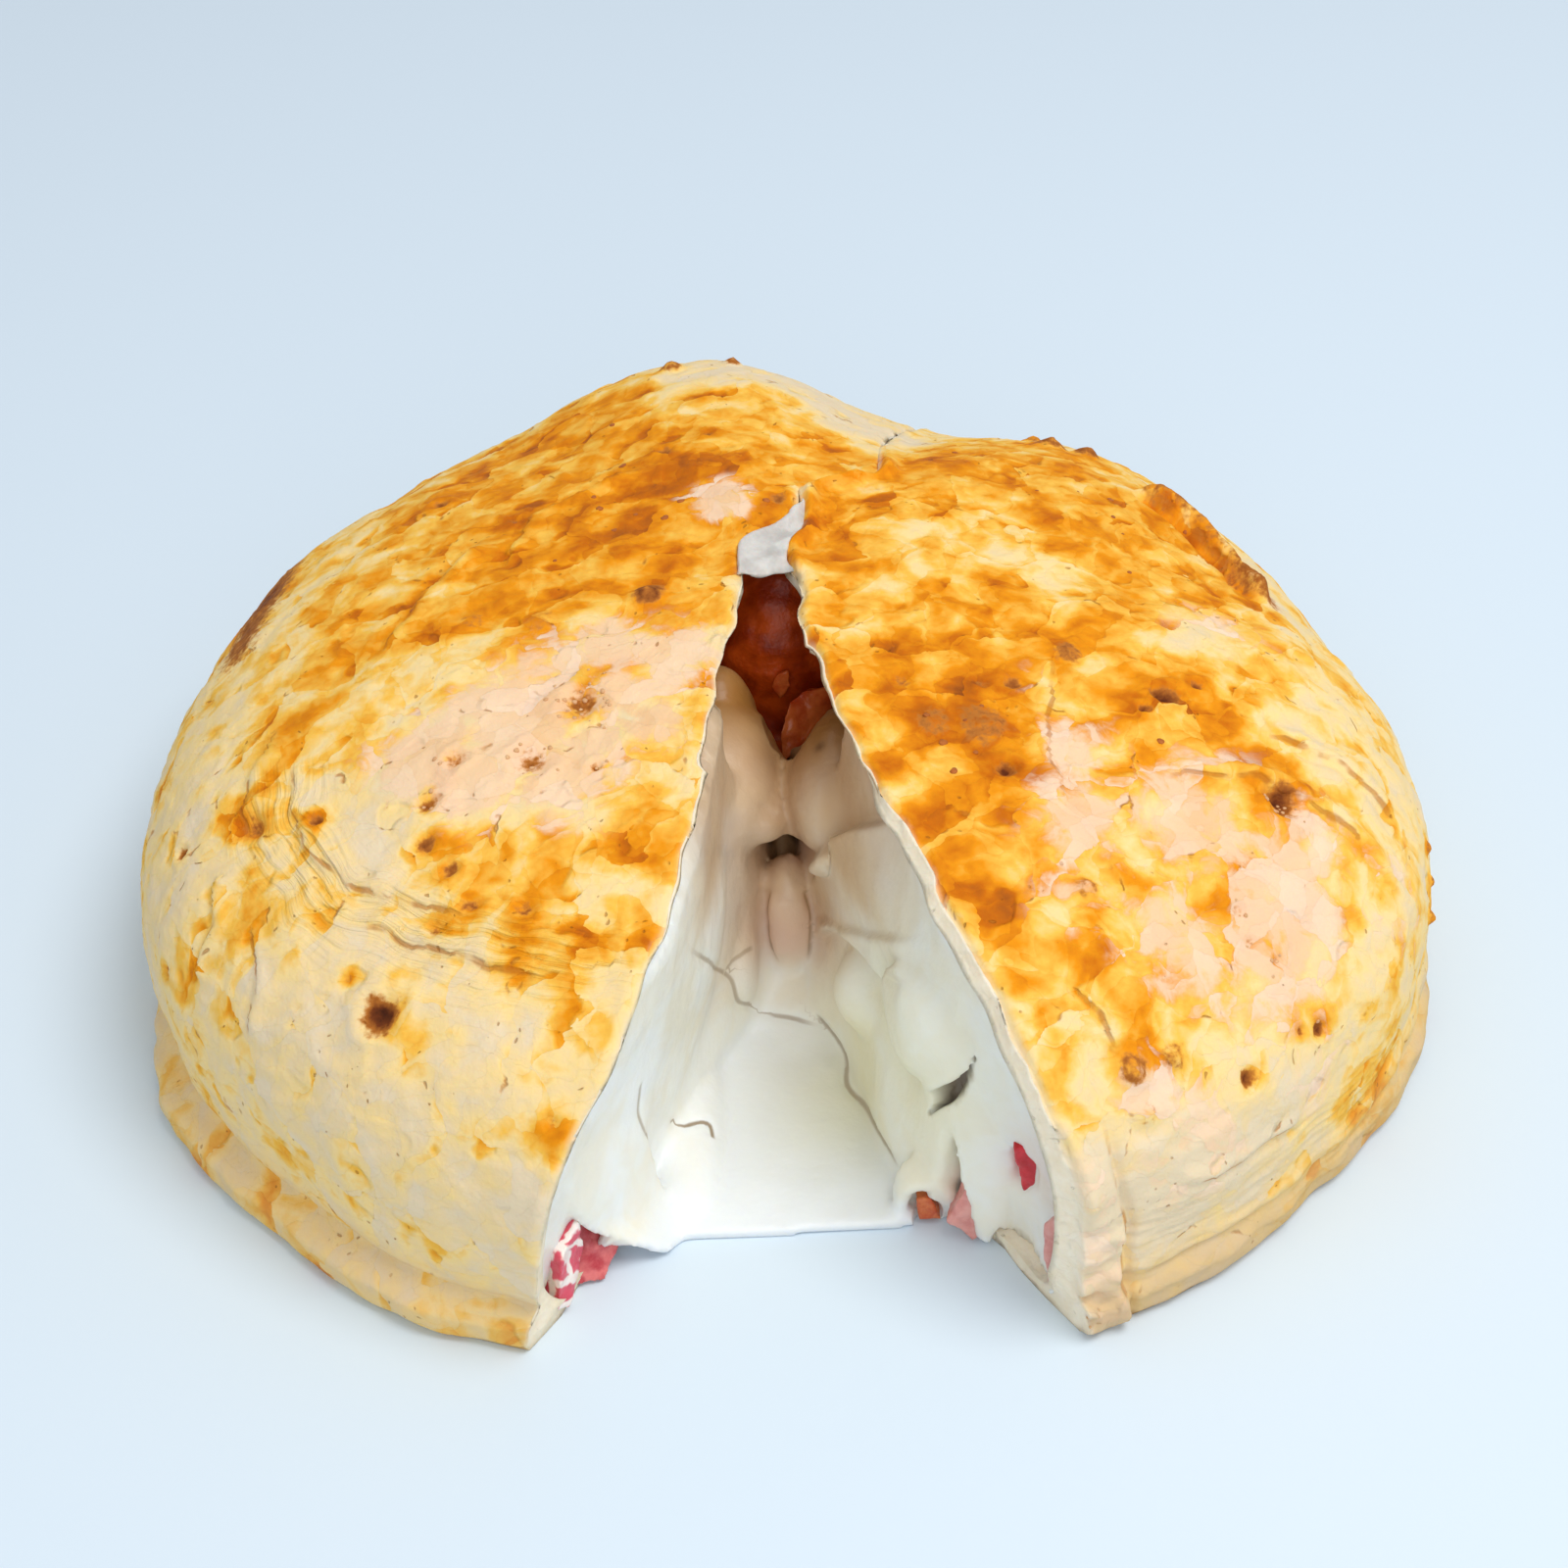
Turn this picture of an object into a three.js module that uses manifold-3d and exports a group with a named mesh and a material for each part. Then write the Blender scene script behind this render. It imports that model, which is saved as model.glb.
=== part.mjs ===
// Closed pide: a round, domed filled loaf on a flat base, with one wedge cut out at the front
// and the knife's cut carried on through the crown to the far rim. The two pieces of crust that
// are left stand where they were baked, and the melted cheese inside holds them together.
// Millimetres, +Z up. The wedge opens towards -Y. The crown is at x = 0, y = 0 until the last step.
import * as THREE from 'three';
import { mergeVertices } from 'three/addons/utils/BufferGeometryUtils.js';
import Module from 'manifold-3d';

const wasm = await Module();
wasm.setup();

// Driving dimensions of the dome
const RIM = 125; // radius at the shoulder, the widest line of the side
const TOP = 80; // height of the crown above the base
const SHOULDER = 26; // height of the shoulder
const FULLNESS = 2.3; // power of the dome's superellipse: 2 is an ellipse, more is squarer
const WAIST = { height: 10, inset: 2.8 }; // the side draws in above the lip
const LIP = { height: 5.5, reach: 1.3, wave: 0.8, waves: 11 }; // the foot's pressed edge
const SPREAD = { azimuth: 218, push: 3, wide: 20 }; // where the foot has spread out further
const CAVITY_CORNER = 9; // round of the cavity's lower edge
const SIDE_DROPS = [0.5, 0.85, 1]; // rings of the side, from the shoulder (0) down to the waist (1)
const GAP = 0.3; // between pieces that touch

// Walls of the crust, and the same walls seen from the filling that lies against them
const OUTSIDE = { roof: 0, side: 0, floor: 0 };
const CRUST = { roof: 4.5, side: 7, floor: 5 };
const FILLING = { roof: CRUST.roof + GAP, side: CRUST.side + GAP, floor: CRUST.floor + GAP };

// Swellings and hollows of the baked dough: azimuth from +X in degrees, place from crown (0) to
// shoulder (1), push along the outward normal, and how far each spreads in both directions
const SWELLINGS = [
  { azimuth: 17, along: 0.72, push: -8, wide: 18, long: 0.34 },
  { azimuth: 42, along: 0.72, push: -2.5, wide: 14, long: 0.34 },
  { azimuth: 70, along: 0.58, push: -8, wide: 14, long: 0.34 },
  { azimuth: 101, along: 0.58, push: 8, wide: 16, long: 0.34 },
  { azimuth: 131, along: 0.58, push: -1.5, wide: 14, long: 0.34 },
  { azimuth: 168, along: 0.72, push: -2.5, wide: 20, long: 0.38 },
  { azimuth: 203, along: 1, push: 1.5, wide: 16, long: 0.38 },
  { azimuth: -5, along: 1, push: -2.5, wide: 16, long: 0.38 },
  { azimuth: -25, along: 1, push: 2, wide: 16, long: 0.38 },
];

// The wedge's two cuts at roof level, as x over t, where t runs from 0 at the crown to 1 at the
// front foot. Each cut's foot is drawn back under the roof by its lean.
const CUT_LENGTH = 115;
const LEFT_CUT = { start: -7, slope: -13, flare: -14.5, power: 4, lean: -12, leanFrom: 25, leanTo: 95 };
const RIGHT_CUT = { start: 3, slope: 24, flare: 15.5, power: 3, lean: 4, leanFrom: 70, leanTo: 105 };
const LEAN_TOP = 60; // height above which the cuts are upright
const TIP = { narrows: 5, closes: 19 }; // how far behind the crown the open tip narrows, and is shut
// Behind the crown the cut is shut: x where it starts, its slope, one jog to the right and a drift
const SEAM = { start: 2.85, slope: 0.05, jog: 16, jogFrom: 30, jogTo: 44, drift: 12, from: 60, to: 135 };
const PLAN_REACH = 140; // past the rim on every side
const CUT_STEP = 5; // distance between the points of a cut line
const CUT_DEPTHS = { below: -10, above: TOP + 20 }; // cutting bodies reach past the loaf

// Filling
const SHRINK = { depth: 4, from: 80, to: 100 }; // it has drawn back from the cuts near the front
const SHEET = 2; // thickness of the cheese that has run out over the wedge's floor
const SHEET_END = 88; // how far in front of the crown it ends
const VALLEY = { low: -46, high: 8, rise: 34 }; // where the cheese climbs to the crown, and by how much
const VALLEY_BACK = 10; // how far behind the crown the valley is carried on
const VALLEY_JOIN = 2; // how far it runs into the fill there
const RAGGED = { size: 3, turns: 4 }; // unevenness of the sheet's front edge
const FLOOR_COLUMNS = 0.3; // share of the valley's columns on its floor
const WALL_COLUMNS = 0.9; // share on its floor and walls; the rest runs into the fill
const OVERLAP = 3; // how far the valley runs into the fill under the crust
const WALL_START = { tip: 0.12, left: 0.93, right: 0.72, from: 18, to: 52 }; // share of the half width
const WALL_BEND = 1.2; // how much the walls hollow as they climb
const UNDER_ROOF = 2; // the walls stay this far below the fill they lean on
const LOBES = { height: 8, turns: 0.28, shift: 2, from: -60, to: -40 }; // bulges along the walls
const POCKET = { centre: [-1, 30, 45], radii: [24, 30, 38] }; // bowl behind the tip, for the tomato
const HOLLOW = { centre: [0, -3, 68], radii: [25, 34, 24] }; // room that steam left under the crown
const TOMATO = { level: 41, reach: 35, slope: 0.1 };
const TOMATO_RIPPLE = { height: 2.2, across: 0.42, along: 0.36, shift: 1 }; // turns in radians a mm
const WEB = { back: 12, thickness: 3, below: 1, sag: 2, fromLeft: 4 * GAP, fromRight: 2 * GAP };
const DENT = { depth: 0.07, turns: [3, 5, 4] }; // how uneven a morsel is

// How finely the surfaces are divided: columns and rows
const OUTSIDE_GRID = [72, 11];
const INSIDE_GRID = [36, 7];
const VALLEY_GRID = [20, 16];
const TOMATO_GRID = [12, 12];
const WEB_GRID = [4, 4];
const ROOM_GRID = [20, 12];

const clamp01 = (x) => Math.min(1, Math.max(0, x));
const smooth = (x, from, to) => {
  const t = clamp01((x - from) / (to - from));
  return t * t * (3 - 2 * t);
};
const mix = (a, b, t) => a + (b - a) * t;
const bell = (x, width) => Math.exp(-((x / width) ** 2));
const turnedBy = (degrees) => ((((degrees + 180) % 360) + 360) % 360) - 180;

// ---- solids ----

function toSolid(geometry) {
  const bare = geometry.clone();
  bare.deleteAttribute('normal');
  bare.deleteAttribute('uv');
  const merged = mergeVertices(bare, 1e-4);
  return new wasm.Manifold(
    new wasm.Mesh({
      numProp: 3,
      vertProperties: new Float32Array(merged.attributes.position.array),
      triVerts: new Uint32Array(merged.index.array),
    }),
  );
}

function toGeometry(solid) {
  const mesh = solid.getMesh();
  const geometry = new THREE.BufferGeometry();
  geometry.setAttribute('position', new THREE.BufferAttribute(mesh.vertProperties, 3));
  geometry.setIndex(new THREE.BufferAttribute(mesh.triVerts, 1));
  geometry.computeVertexNormals();
  return geometry;
}

function indexed(points, faces) {
  const geometry = new THREE.BufferGeometry();
  geometry.setAttribute('position', new THREE.Float32BufferAttribute(points.flat(), 3));
  geometry.setIndex(faces.flat());
  return geometry;
}

// A closed body of rings stacked from the top point down to the bottom point
function ringSolid(top, rings, bottom) {
  const count = rings[0].length;
  const points = [top, ...rings.flat(), bottom];
  const last = points.length - 1;
  const at = (ring, j) => 1 + ring * count + (j % count);
  const faces = [];
  for (let j = 0; j < count; j += 1) {
    faces.push([0, at(0, j), at(0, j + 1)]);
    for (let i = 0; i + 1 < rings.length; i += 1) {
      faces.push([at(i, j), at(i + 1, j), at(i + 1, j + 1)]);
      faces.push([at(i, j), at(i + 1, j + 1), at(i, j + 1)]);
    }
    faces.push([last, at(rings.length - 1, j + 1), at(rings.length - 1, j)]);
  }
  return toSolid(indexed(points, faces));
}

// A closed body between two height functions over a grid; columns run to +X and rows to -Y
function sheetSolid(columns, rows, place, over, under) {
  const points = [];
  for (let i = 0; i <= rows; i += 1) {
    for (let j = 0; j <= columns; j += 1) {
      const [x, y] = place(j / columns, i / rows);
      points.push([x, y, over(x, y)], [x, y, under(x, y)]);
    }
  }
  const at = (i, j, low) => 2 * (i * (columns + 1) + j) + low;
  const faces = [];
  const wall = (a, b, c, d) => faces.push([a, d, c], [a, b, d]);
  for (let i = 0; i < rows; i += 1) {
    for (let j = 0; j < columns; j += 1) {
      faces.push([at(i, j, 0), at(i + 1, j + 1, 0), at(i, j + 1, 0)]);
      faces.push([at(i, j, 0), at(i + 1, j, 0), at(i + 1, j + 1, 0)]);
      faces.push([at(i, j, 1), at(i, j + 1, 1), at(i + 1, j + 1, 1)]);
      faces.push([at(i, j, 1), at(i + 1, j + 1, 1), at(i + 1, j, 1)]);
    }
    wall(at(i + 1, 0, 0), at(i, 0, 0), at(i + 1, 0, 1), at(i, 0, 1));
    wall(at(i, columns, 0), at(i + 1, columns, 0), at(i, columns, 1), at(i + 1, columns, 1));
  }
  for (let j = 0; j < columns; j += 1) {
    wall(at(0, j, 0), at(0, j + 1, 0), at(0, j, 1), at(0, j + 1, 1));
    wall(at(rows, j + 1, 0), at(rows, j, 0), at(rows, j + 1, 1), at(rows, j, 1));
  }
  return toSolid(indexed(points, faces));
}

// An uneven morsel: a rounded block whose squareness runs from 2, an ellipsoid, upwards
function morsel({ size, squareness, at, turn }, grow = 0) {
  const ball = new THREE.IcosahedronGeometry(1, 1);
  const geometry = mergeVertices(ball.deleteAttribute('normal').deleteAttribute('uv'));
  const position = geometry.attributes.position;
  const p = new THREE.Vector3();
  for (let i = 0; i < position.count; i += 1) {
    p.fromBufferAttribute(position, i).normalize();
    const sum = Math.abs(p.x) ** squareness + Math.abs(p.y) ** squareness + Math.abs(p.z) ** squareness;
    const [tx, ty, tz] = DENT.turns;
    const dent = 1 + DENT.depth * Math.sin(tx * p.x + ty * p.y + at[0]) * Math.cos(tz * p.z + at[1]);
    p.multiplyScalar((dent / 2) * sum ** (-1 / squareness));
    position.setXYZ(i, ...[0, 1, 2].map((k) => p.getComponent(k) * (size[k] + 2 * grow)));
  }
  const euler = new THREE.Euler(...turn.map(THREE.MathUtils.degToRad));
  geometry.applyMatrix4(new THREE.Matrix4().makeRotationFromEuler(euler));
  return toSolid(geometry.translate(...at));
}

// ---- the dome ----

function swell(azimuth, along) {
  let push = 0;
  for (const s of SWELLINGS) {
    push += s.push * bell(turnedBy(azimuth - s.azimuth), s.wide) * bell(along - s.along, s.long);
  }
  return push;
}

// Radius and height on the dome, from the crown (along 0) to the shoulder (along 1)
function domePoint(azimuth, along, wall) {
  const rim = RIM - wall.side;
  const rise = TOP - wall.roof - SHOULDER;
  const turn = (along * Math.PI) / 2;
  const r = rim * Math.sin(turn) ** (2 / FULLNESS);
  const z = rise * Math.abs(Math.cos(turn)) ** (2 / FULLNESS);
  const outward = (r / rim) ** (FULLNESS - 1) / rim;
  const upward = (z / rise) ** (FULLNESS - 1) / rise;
  const push = swell(azimuth, along) / Math.hypot(outward, upward);
  return [r + outward * push, SHOULDER + z + upward * push];
}

// Radius and height below the shoulder, drawing in on the way down to a given height
function sidePoint(azimuth, drop, wall, height, inset) {
  const [r, z] = domePoint(azimuth, 1, wall);
  return [r - inset * (1 - Math.sqrt(1 - drop * drop)), mix(z, height, drop)];
}

function lipRadius(azimuth) {
  const wave = LIP.wave * Math.sin(THREE.MathUtils.degToRad(LIP.waves * azimuth));
  const spread = SPREAD.push * bell(turnedBy(azimuth - SPREAD.azimuth), SPREAD.wide);
  return domePoint(azimuth, 1, OUTSIDE)[0] + LIP.reach + wave + spread;
}

function domeSolid(wall, columns, rows) {
  const rings = [];
  const addRing = (point) => {
    const ring = [];
    for (let j = 0; j < columns; j += 1) {
      const azimuth = (360 * j) / columns;
      const [r, z] = point(azimuth);
      const angle = THREE.MathUtils.degToRad(azimuth);
      ring.push([r * Math.cos(angle), r * Math.sin(angle), z]);
    }
    rings.push(ring);
  };
  for (let i = 1; i <= rows; i += 1) {
    addRing((azimuth) => domePoint(azimuth, i / rows, wall));
  }
  const isOutside = wall === OUTSIDE;
  for (const drop of SIDE_DROPS) {
    if (isOutside) addRing((azimuth) => sidePoint(azimuth, drop, wall, WAIST.height, WAIST.inset));
    else addRing((azimuth) => sidePoint(azimuth, drop, wall, wall.floor, CAVITY_CORNER));
  }
  if (isOutside) {
    addRing((azimuth) => [lipRadius(azimuth), LIP.height]);
    addRing((azimuth) => [lipRadius(azimuth), 0]);
  }
  return ringSolid([0, 0, TOP - wall.roof], rings, [0, 0, wall.floor]);
}

// Height of the dome, or of a wall's inner side, over a point of the plan
function roofHeight(x, y, wall) {
  const azimuth = THREE.MathUtils.radToDeg(Math.atan2(y, x));
  const radius = Math.hypot(x, y);
  let near = 0;
  let far = 1;
  for (let halving = 0; halving < 20; halving += 1) {
    const along = (near + far) / 2;
    if (domePoint(azimuth, along, wall)[0] < radius) near = along;
    else far = along;
  }
  return domePoint(azimuth, near, wall)[1];
}

// ---- the cuts ----

function cutX(cut, y, z) {
  const t = Math.max(0, -y) / CUT_LENGTH;
  const lean = cut.lean * smooth(-y, cut.leanFrom, cut.leanTo) * (1 - clamp01(z / LEAN_TOP));
  return cut.start + cut.slope * t + cut.flare * t ** cut.power + lean;
}

function seamX(y) {
  const jog = SEAM.jog * smooth(y, SEAM.jogFrom, SEAM.jogTo);
  return SEAM.start + SEAM.slope * y + jog + SEAM.drift * smooth(y, SEAM.from, SEAM.to);
}

const rightEdge = (y, z) => (y <= 0 ? cutX(RIGHT_CUT, y, z) : seamX(y) + GAP / 2);

function leftEdge(y, z) {
  if (y <= 0) return cutX(LEFT_CUT, y, z);
  return mix(LEFT_CUT.start, seamX(y) - GAP / 2, smooth(y, TIP.narrows, TIP.closes));
}

// A closed body between two upright surfaces, each given as x over y and z
function betweenSolid(leftX, rightX, start, end) {
  const rows = Math.round((end - start) / CUT_STEP);
  const levels = [CUT_DEPTHS.below, 0, LEAN_TOP / 2, LEAN_TOP, CUT_DEPTHS.above];
  const points = [];
  for (let i = 0; i <= rows; i += 1) {
    const y = mix(start, end, i / rows);
    for (const z of levels) points.push([leftX(y, z), y, z], [rightX(y, z), y, z]);
  }
  const last = levels.length - 1;
  const at = (i, k, side) => 2 * (i * levels.length + k) + side;
  const faces = [];
  const quad = (a, b, c, d) => faces.push([a, b, c], [a, c, d]);
  for (let i = 0; i < rows; i += 1) {
    for (let k = 0; k < last; k += 1) {
      quad(at(i, k, 0), at(i, k + 1, 0), at(i + 1, k + 1, 0), at(i + 1, k, 0));
      quad(at(i, k, 1), at(i + 1, k, 1), at(i + 1, k + 1, 1), at(i, k + 1, 1));
    }
    quad(at(i, 0, 0), at(i + 1, 0, 0), at(i + 1, 0, 1), at(i, 0, 1));
    quad(at(i, last, 0), at(i, last, 1), at(i + 1, last, 1), at(i + 1, last, 0));
  }
  for (let k = 0; k < last; k += 1) {
    quad(at(0, k, 0), at(0, k, 1), at(0, k + 1, 1), at(0, k + 1, 0));
    quad(at(rows, k, 0), at(rows, k + 1, 0), at(rows, k + 1, 1), at(rows, k, 1));
  }
  return toSolid(indexed(points, faces));
}

const leftPiece = () => betweenSolid(() => -PLAN_REACH, leftEdge, -PLAN_REACH, PLAN_REACH);

const rightPiece = () => betweenSolid(rightEdge, () => PLAN_REACH, -PLAN_REACH, PLAN_REACH);

// The open wedge; an inset narrows it on both sides, and a negative one widens it
function wedgeSolid(insetAt, end) {
  const left = (y, z) => leftEdge(y, z) + insetAt(y);
  const right = (y, z) => rightEdge(y, z) - insetAt(y);
  return betweenSolid(left, right, -PLAN_REACH, end);
}

// ---- the pieces ----

const shell = domeSolid(OUTSIDE, ...OUTSIDE_GRID).subtract(domeSolid(CRUST, ...INSIDE_GRID));

// Cheese in the wedge: a sheet on the floor, and a valley between its sides that climbs to the tip
function wallStart(side, y) {
  const front = side < 0 ? WALL_START.left : WALL_START.right;
  return mix(WALL_START.tip, front, smooth(-y, WALL_START.from, WALL_START.to));
}

function valleyTop(x, y) {
  const left = leftEdge(y, 0);
  const right = rightEdge(y, 0);
  const middle = (left + right) / 2;
  const side = Math.sign(x - middle);
  const across = Math.abs(x - middle) / ((right - left) / 2);
  const start = wallStart(side, y);
  const climb = clamp01((across - start) / (1 - start));
  const low = SHEET + VALLEY.rise * smooth(y, VALLEY.low, VALLEY.high);
  const wave = Math.sin(LOBES.turns * y + LOBES.shift * side) * smooth(y, LOBES.from, LOBES.to);
  const high = roofHeight(x, y, FILLING) - UNDER_ROOF;
  return mix(low, high, climb ** WALL_BEND) + LOBES.height * climb * (1 - climb) * wave;
}

// Columns are shared out between the valley's floor and its two walls
function valleyPlace(u, v) {
  const y = mix(VALLEY_BACK, -SHEET_END - RAGGED.size * Math.sin(RAGGED.turns * u), v);
  const left = leftEdge(y, 0);
  const right = rightEdge(y, 0);
  const side = Math.sign(u - 0.5);
  const out = Math.abs(2 * u - 1);
  const start = wallStart(side, y);
  const wall = mix(start, 1, clamp01((out - FLOOR_COLUMNS) / (WALL_COLUMNS - FLOOR_COLUMNS)));
  const across = out < FLOOR_COLUMNS ? (start * out) / FLOOR_COLUMNS : wall;
  const beyond = OVERLAP * clamp01((out - WALL_COLUMNS) / (1 - WALL_COLUMNS));
  return [(left + right) / 2 + side * (across * (right - left) / 2 + beyond), y];
}

function cheeseSolid() {
  const valley = sheetSolid(...VALLEY_GRID, valleyPlace, valleyTop, () => 0);
  const filled = domeSolid(FILLING, ...INSIDE_GRID);
  const room = filled.add(wedgeSolid(() => GAP, VALLEY_BACK));
  const shrunk = (y) => -SHRINK.depth * smooth(-y, SHRINK.from, SHRINK.to);
  return filled.subtract(wedgeSolid(shrunk, VALLEY_BACK - VALLEY_JOIN)).add(valley.intersect(room));
}

function roomSolid({ centre, radii }, grow = 0) {
  const ball = new THREE.SphereGeometry(1, ...ROOM_GRID);
  ball.scale(...radii.map((radius) => radius + grow));
  return toSolid(ball.translate(...centre));
}

function tomatoSolid() {
  const [cx, cy] = POCKET.centre;
  const place = (u, v) => [cx + mix(-1, 1, u) * TOMATO.reach, cy + mix(1, -1, v) * TOMATO.reach];
  const { height, across, along, shift } = TOMATO_RIPPLE;
  const wave = (x, y) => height * Math.sin(across * x + shift) * Math.cos(along * y);
  const top = (x, y) => TOMATO.level + wave(x, y) + TOMATO.slope * (y - cy);
  return roomSolid(POCKET, -GAP).intersect(sheetSolid(...TOMATO_GRID, place, top, () => -1));
}

// A soft web that still bridges the open tip just under the crust's surface
function webSolid() {
  const place = (u, v) => {
    const y = mix(WEB.back, 0, v);
    return [mix(leftEdge(y, TOP) + WEB.fromLeft, rightEdge(y, TOP) - WEB.fromRight, u), y];
  };
  const top = (x, y) => {
    const u = (x - leftEdge(y, TOP)) / (rightEdge(y, TOP) - leftEdge(y, TOP));
    return roofHeight(x, y, OUTSIDE) - WEB.below - WEB.sag * 4 * u * (1 - u);
  };
  return sheetSolid(...WEB_GRID, place, top, (x, y) => top(x, y) - WEB.thickness);
}

const MORSELS = {
  tomato_chunk_front: { size: [8, 9, 11], squareness: 2.6, at: [5, 10, 46], turn: [10, 20, 30] },
  tomato_chunk_back: { size: [6, 6, 7], squareness: 2.6, at: [-2, 19, 46], turn: [30, 0, 50] },
  salami_left_tall: { size: [6, 8, 14], squareness: 4, at: [-42.5, -99, 9.2], turn: [0, 8, 25] },
  salami_left_cube: { size: [9, 8, 8], squareness: 5, at: [-34.5, -94.5, 5], turn: [0, -10, 20] },
  pepper_strip: { size: [5, 8, 13], squareness: 3.2, at: [38.3, -96, 20], turn: [0, 28, 15] },
  ham_triangle: { size: [9, 7, 9], squareness: 3.2, at: [30.2, -89, 6], turn: [0, 40, 0] },
  pepper_bit: { size: [5, 5, 4], squareness: 3, at: [22, -86, 4.2], turn: [0, 15, 30] },
  ham_strip: { size: [7, 8, 14], squareness: 3.6, at: [43.5, -102, 12], turn: [0, -8, -20] },
};

const COLOURS = {
  crust_left: 0xecc07a,
  crust_right: 0xe9b96c,
  cheese: 0xeceada,
  tip_web: 0xe6e0d6,
  tomato_filling: 0x8a3a1c,
  tomato_chunk_front: 0xd4561f,
  tomato_chunk_back: 0xc9481c,
  salami_left_tall: 0xd95a6b,
  salami_left_cube: 0xb8323f,
  pepper_strip: 0xc61f26,
  ham_triangle: 0xd98f86,
  pepper_bit: 0xd9703a,
  ham_strip: 0xd99a92,
};

function buildPide() {
  const web = webSolid();
  const solids = {
    crust_left: shell.intersect(leftPiece()),
    crust_right: shell.intersect(rightPiece()),
    cheese: cheeseSolid().subtract(roomSolid(POCKET)).subtract(roomSolid(HOLLOW)),
    tip_web: web,
    tomato_filling: tomatoSolid(),
  };
  solids.cheese = solids.cheese.subtract(web.translate([0, 0, -GAP])).subtract(web.translate([0, 0, GAP]));
  for (const [name, shape] of Object.entries(MORSELS)) {
    const bed = morsel(shape, GAP);
    for (const host of ['crust_left', 'crust_right', 'cheese', 'tomato_filling']) {
      solids[host] = solids[host].subtract(bed);
    }
    solids[name] = morsel(shape);
  }
  const pide = new THREE.Group();
  for (const [name, solid] of Object.entries(solids)) {
    const material = new THREE.MeshStandardMaterial({ color: COLOURS[name], roughness: 0.7, metalness: 0 });
    const mesh = new THREE.Mesh(toGeometry(solid), material);
    mesh.name = name;
    pide.add(mesh);
  }
  return pide;
}

// The origin is the middle of the bounding box's underside
const pide = buildPide();
const box = new THREE.Box3().setFromObject(pide);
const middle = box.getCenter(new THREE.Vector3());
pide.position.set(-middle.x, -middle.y, -box.min.z);
pide.updateMatrixWorld(true);

export default pide;
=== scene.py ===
# %% [markdown]
# # A closed pide, cut open
# The loaf is a round of dough folded shut over cheese, tomato and cured meat, and baked until it
# domes. A wedge has been cut out at the front and the knife has gone on through the crown, so two
# pieces of crust stand side by side with the melted filling between them.
# The fixed frame gives the true sizes. Here each of its pieces is made again with the dough's
# folds, blisters and flakes, the melted cheese's lobes, and their colours.

import math
from types import SimpleNamespace

import bpy
import numpy as np
from mathutils import Matrix, Vector
from mathutils.bvhtree import BVHTree


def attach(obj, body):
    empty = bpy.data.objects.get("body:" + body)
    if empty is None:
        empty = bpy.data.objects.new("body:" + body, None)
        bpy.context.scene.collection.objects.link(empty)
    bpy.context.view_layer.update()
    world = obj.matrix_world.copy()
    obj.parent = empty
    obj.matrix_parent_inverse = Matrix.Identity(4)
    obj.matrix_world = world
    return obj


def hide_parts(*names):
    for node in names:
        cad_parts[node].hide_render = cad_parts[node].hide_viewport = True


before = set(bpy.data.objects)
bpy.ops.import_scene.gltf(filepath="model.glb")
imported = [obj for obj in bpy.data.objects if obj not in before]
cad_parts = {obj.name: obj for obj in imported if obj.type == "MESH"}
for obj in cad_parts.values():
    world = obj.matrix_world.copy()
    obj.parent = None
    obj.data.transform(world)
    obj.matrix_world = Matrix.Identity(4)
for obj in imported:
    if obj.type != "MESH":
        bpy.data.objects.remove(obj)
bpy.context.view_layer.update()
MM = 0.001
CROWN = np.array([1.5076, -4.6916, 0.0])  # where the crown stands in the frame, in millimetres
print("frame nodes:", sorted(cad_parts))

# %% [markdown]
# ## Small helpers
# Dough and melted cheese are uneven at every scale. Two kinds of unevenness are enough: smooth
# ripples, and flakes, which split a surface into uneven cells as a dried and stretched skin does.
# Both are written out here, so that the same point always gets the same bump.

# %% curves and unevenness
def clamp01(x):
    return np.clip(x, 0, 1)


def smooth(x, start, end):
    t = clamp01((x - start) / (end - start))
    return t * t * (3 - 2 * t)


def mix(a, b, t):
    return a + (b - a) * t


def bell(x, width):
    return np.exp(-((x / width) ** 2))


def span(x, rise, full, fall, gone, high=1):
    """Rises from 0 at rise to high at full, and falls again from fall to gone."""
    return high * smooth(x, rise, full) * (1 - smooth(x, fall, gone))


def turned_by(degrees):
    return (degrees + 180) % 360 - 180


PRIMES = (374761393, 668265263, 2147483647)
MIXER = 1274126177


def chance(cell, salt):
    """A fixed random number from 0 to 1 for each whole-number place."""
    n = sum(cell[..., k] * PRIMES[k] for k in range(3)) + salt * MIXER
    n = (n ^ (n >> 13)) * MIXER
    n = n ^ (n >> 16)
    return (n & 0xFFFFFF) / float(0xFFFFFF)


def ripple(points, size, salt=0):
    """Smooth unevenness from about -1 to 1, with bumps about size mm wide."""
    scaled = points / size
    base = np.floor(scaled).astype(np.int64)
    part = scaled - base
    ease = part**3 * (part * (part * 6 - 15) + 10)
    total = np.zeros(points.shape[:-1])
    for corner in np.ndindex(2, 2, 2):
        cell = base + corner
        weight = np.prod(np.where(corner, ease, 1 - ease), axis=-1)
        slope = np.stack([chance(cell, salt * 3 + k) * 2 - 1 for k in range(3)], -1)
        total += weight * ((part - corner) * slope).sum(-1)
    return total * 1.7


def ripples(points, layers, salt):
    """Ripples added up: each layer is a size and a height in mm."""
    return sum(height * ripple(points, size, salt + k) for k, (size, height) in enumerate(layers))


def ripple_on(u, v, salt):
    """Ripples over two directions of a skin, with bumps about 1 wide."""
    return ripple(np.stack([u, v, np.zeros_like(u)], -1), 1.0, salt)


def shaken(points, reach, size, salt):
    """The points pulled about by up to reach mm."""
    return points + reach * np.stack([ripple(points, size, salt + k) for k in range(3)], -1)


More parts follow.
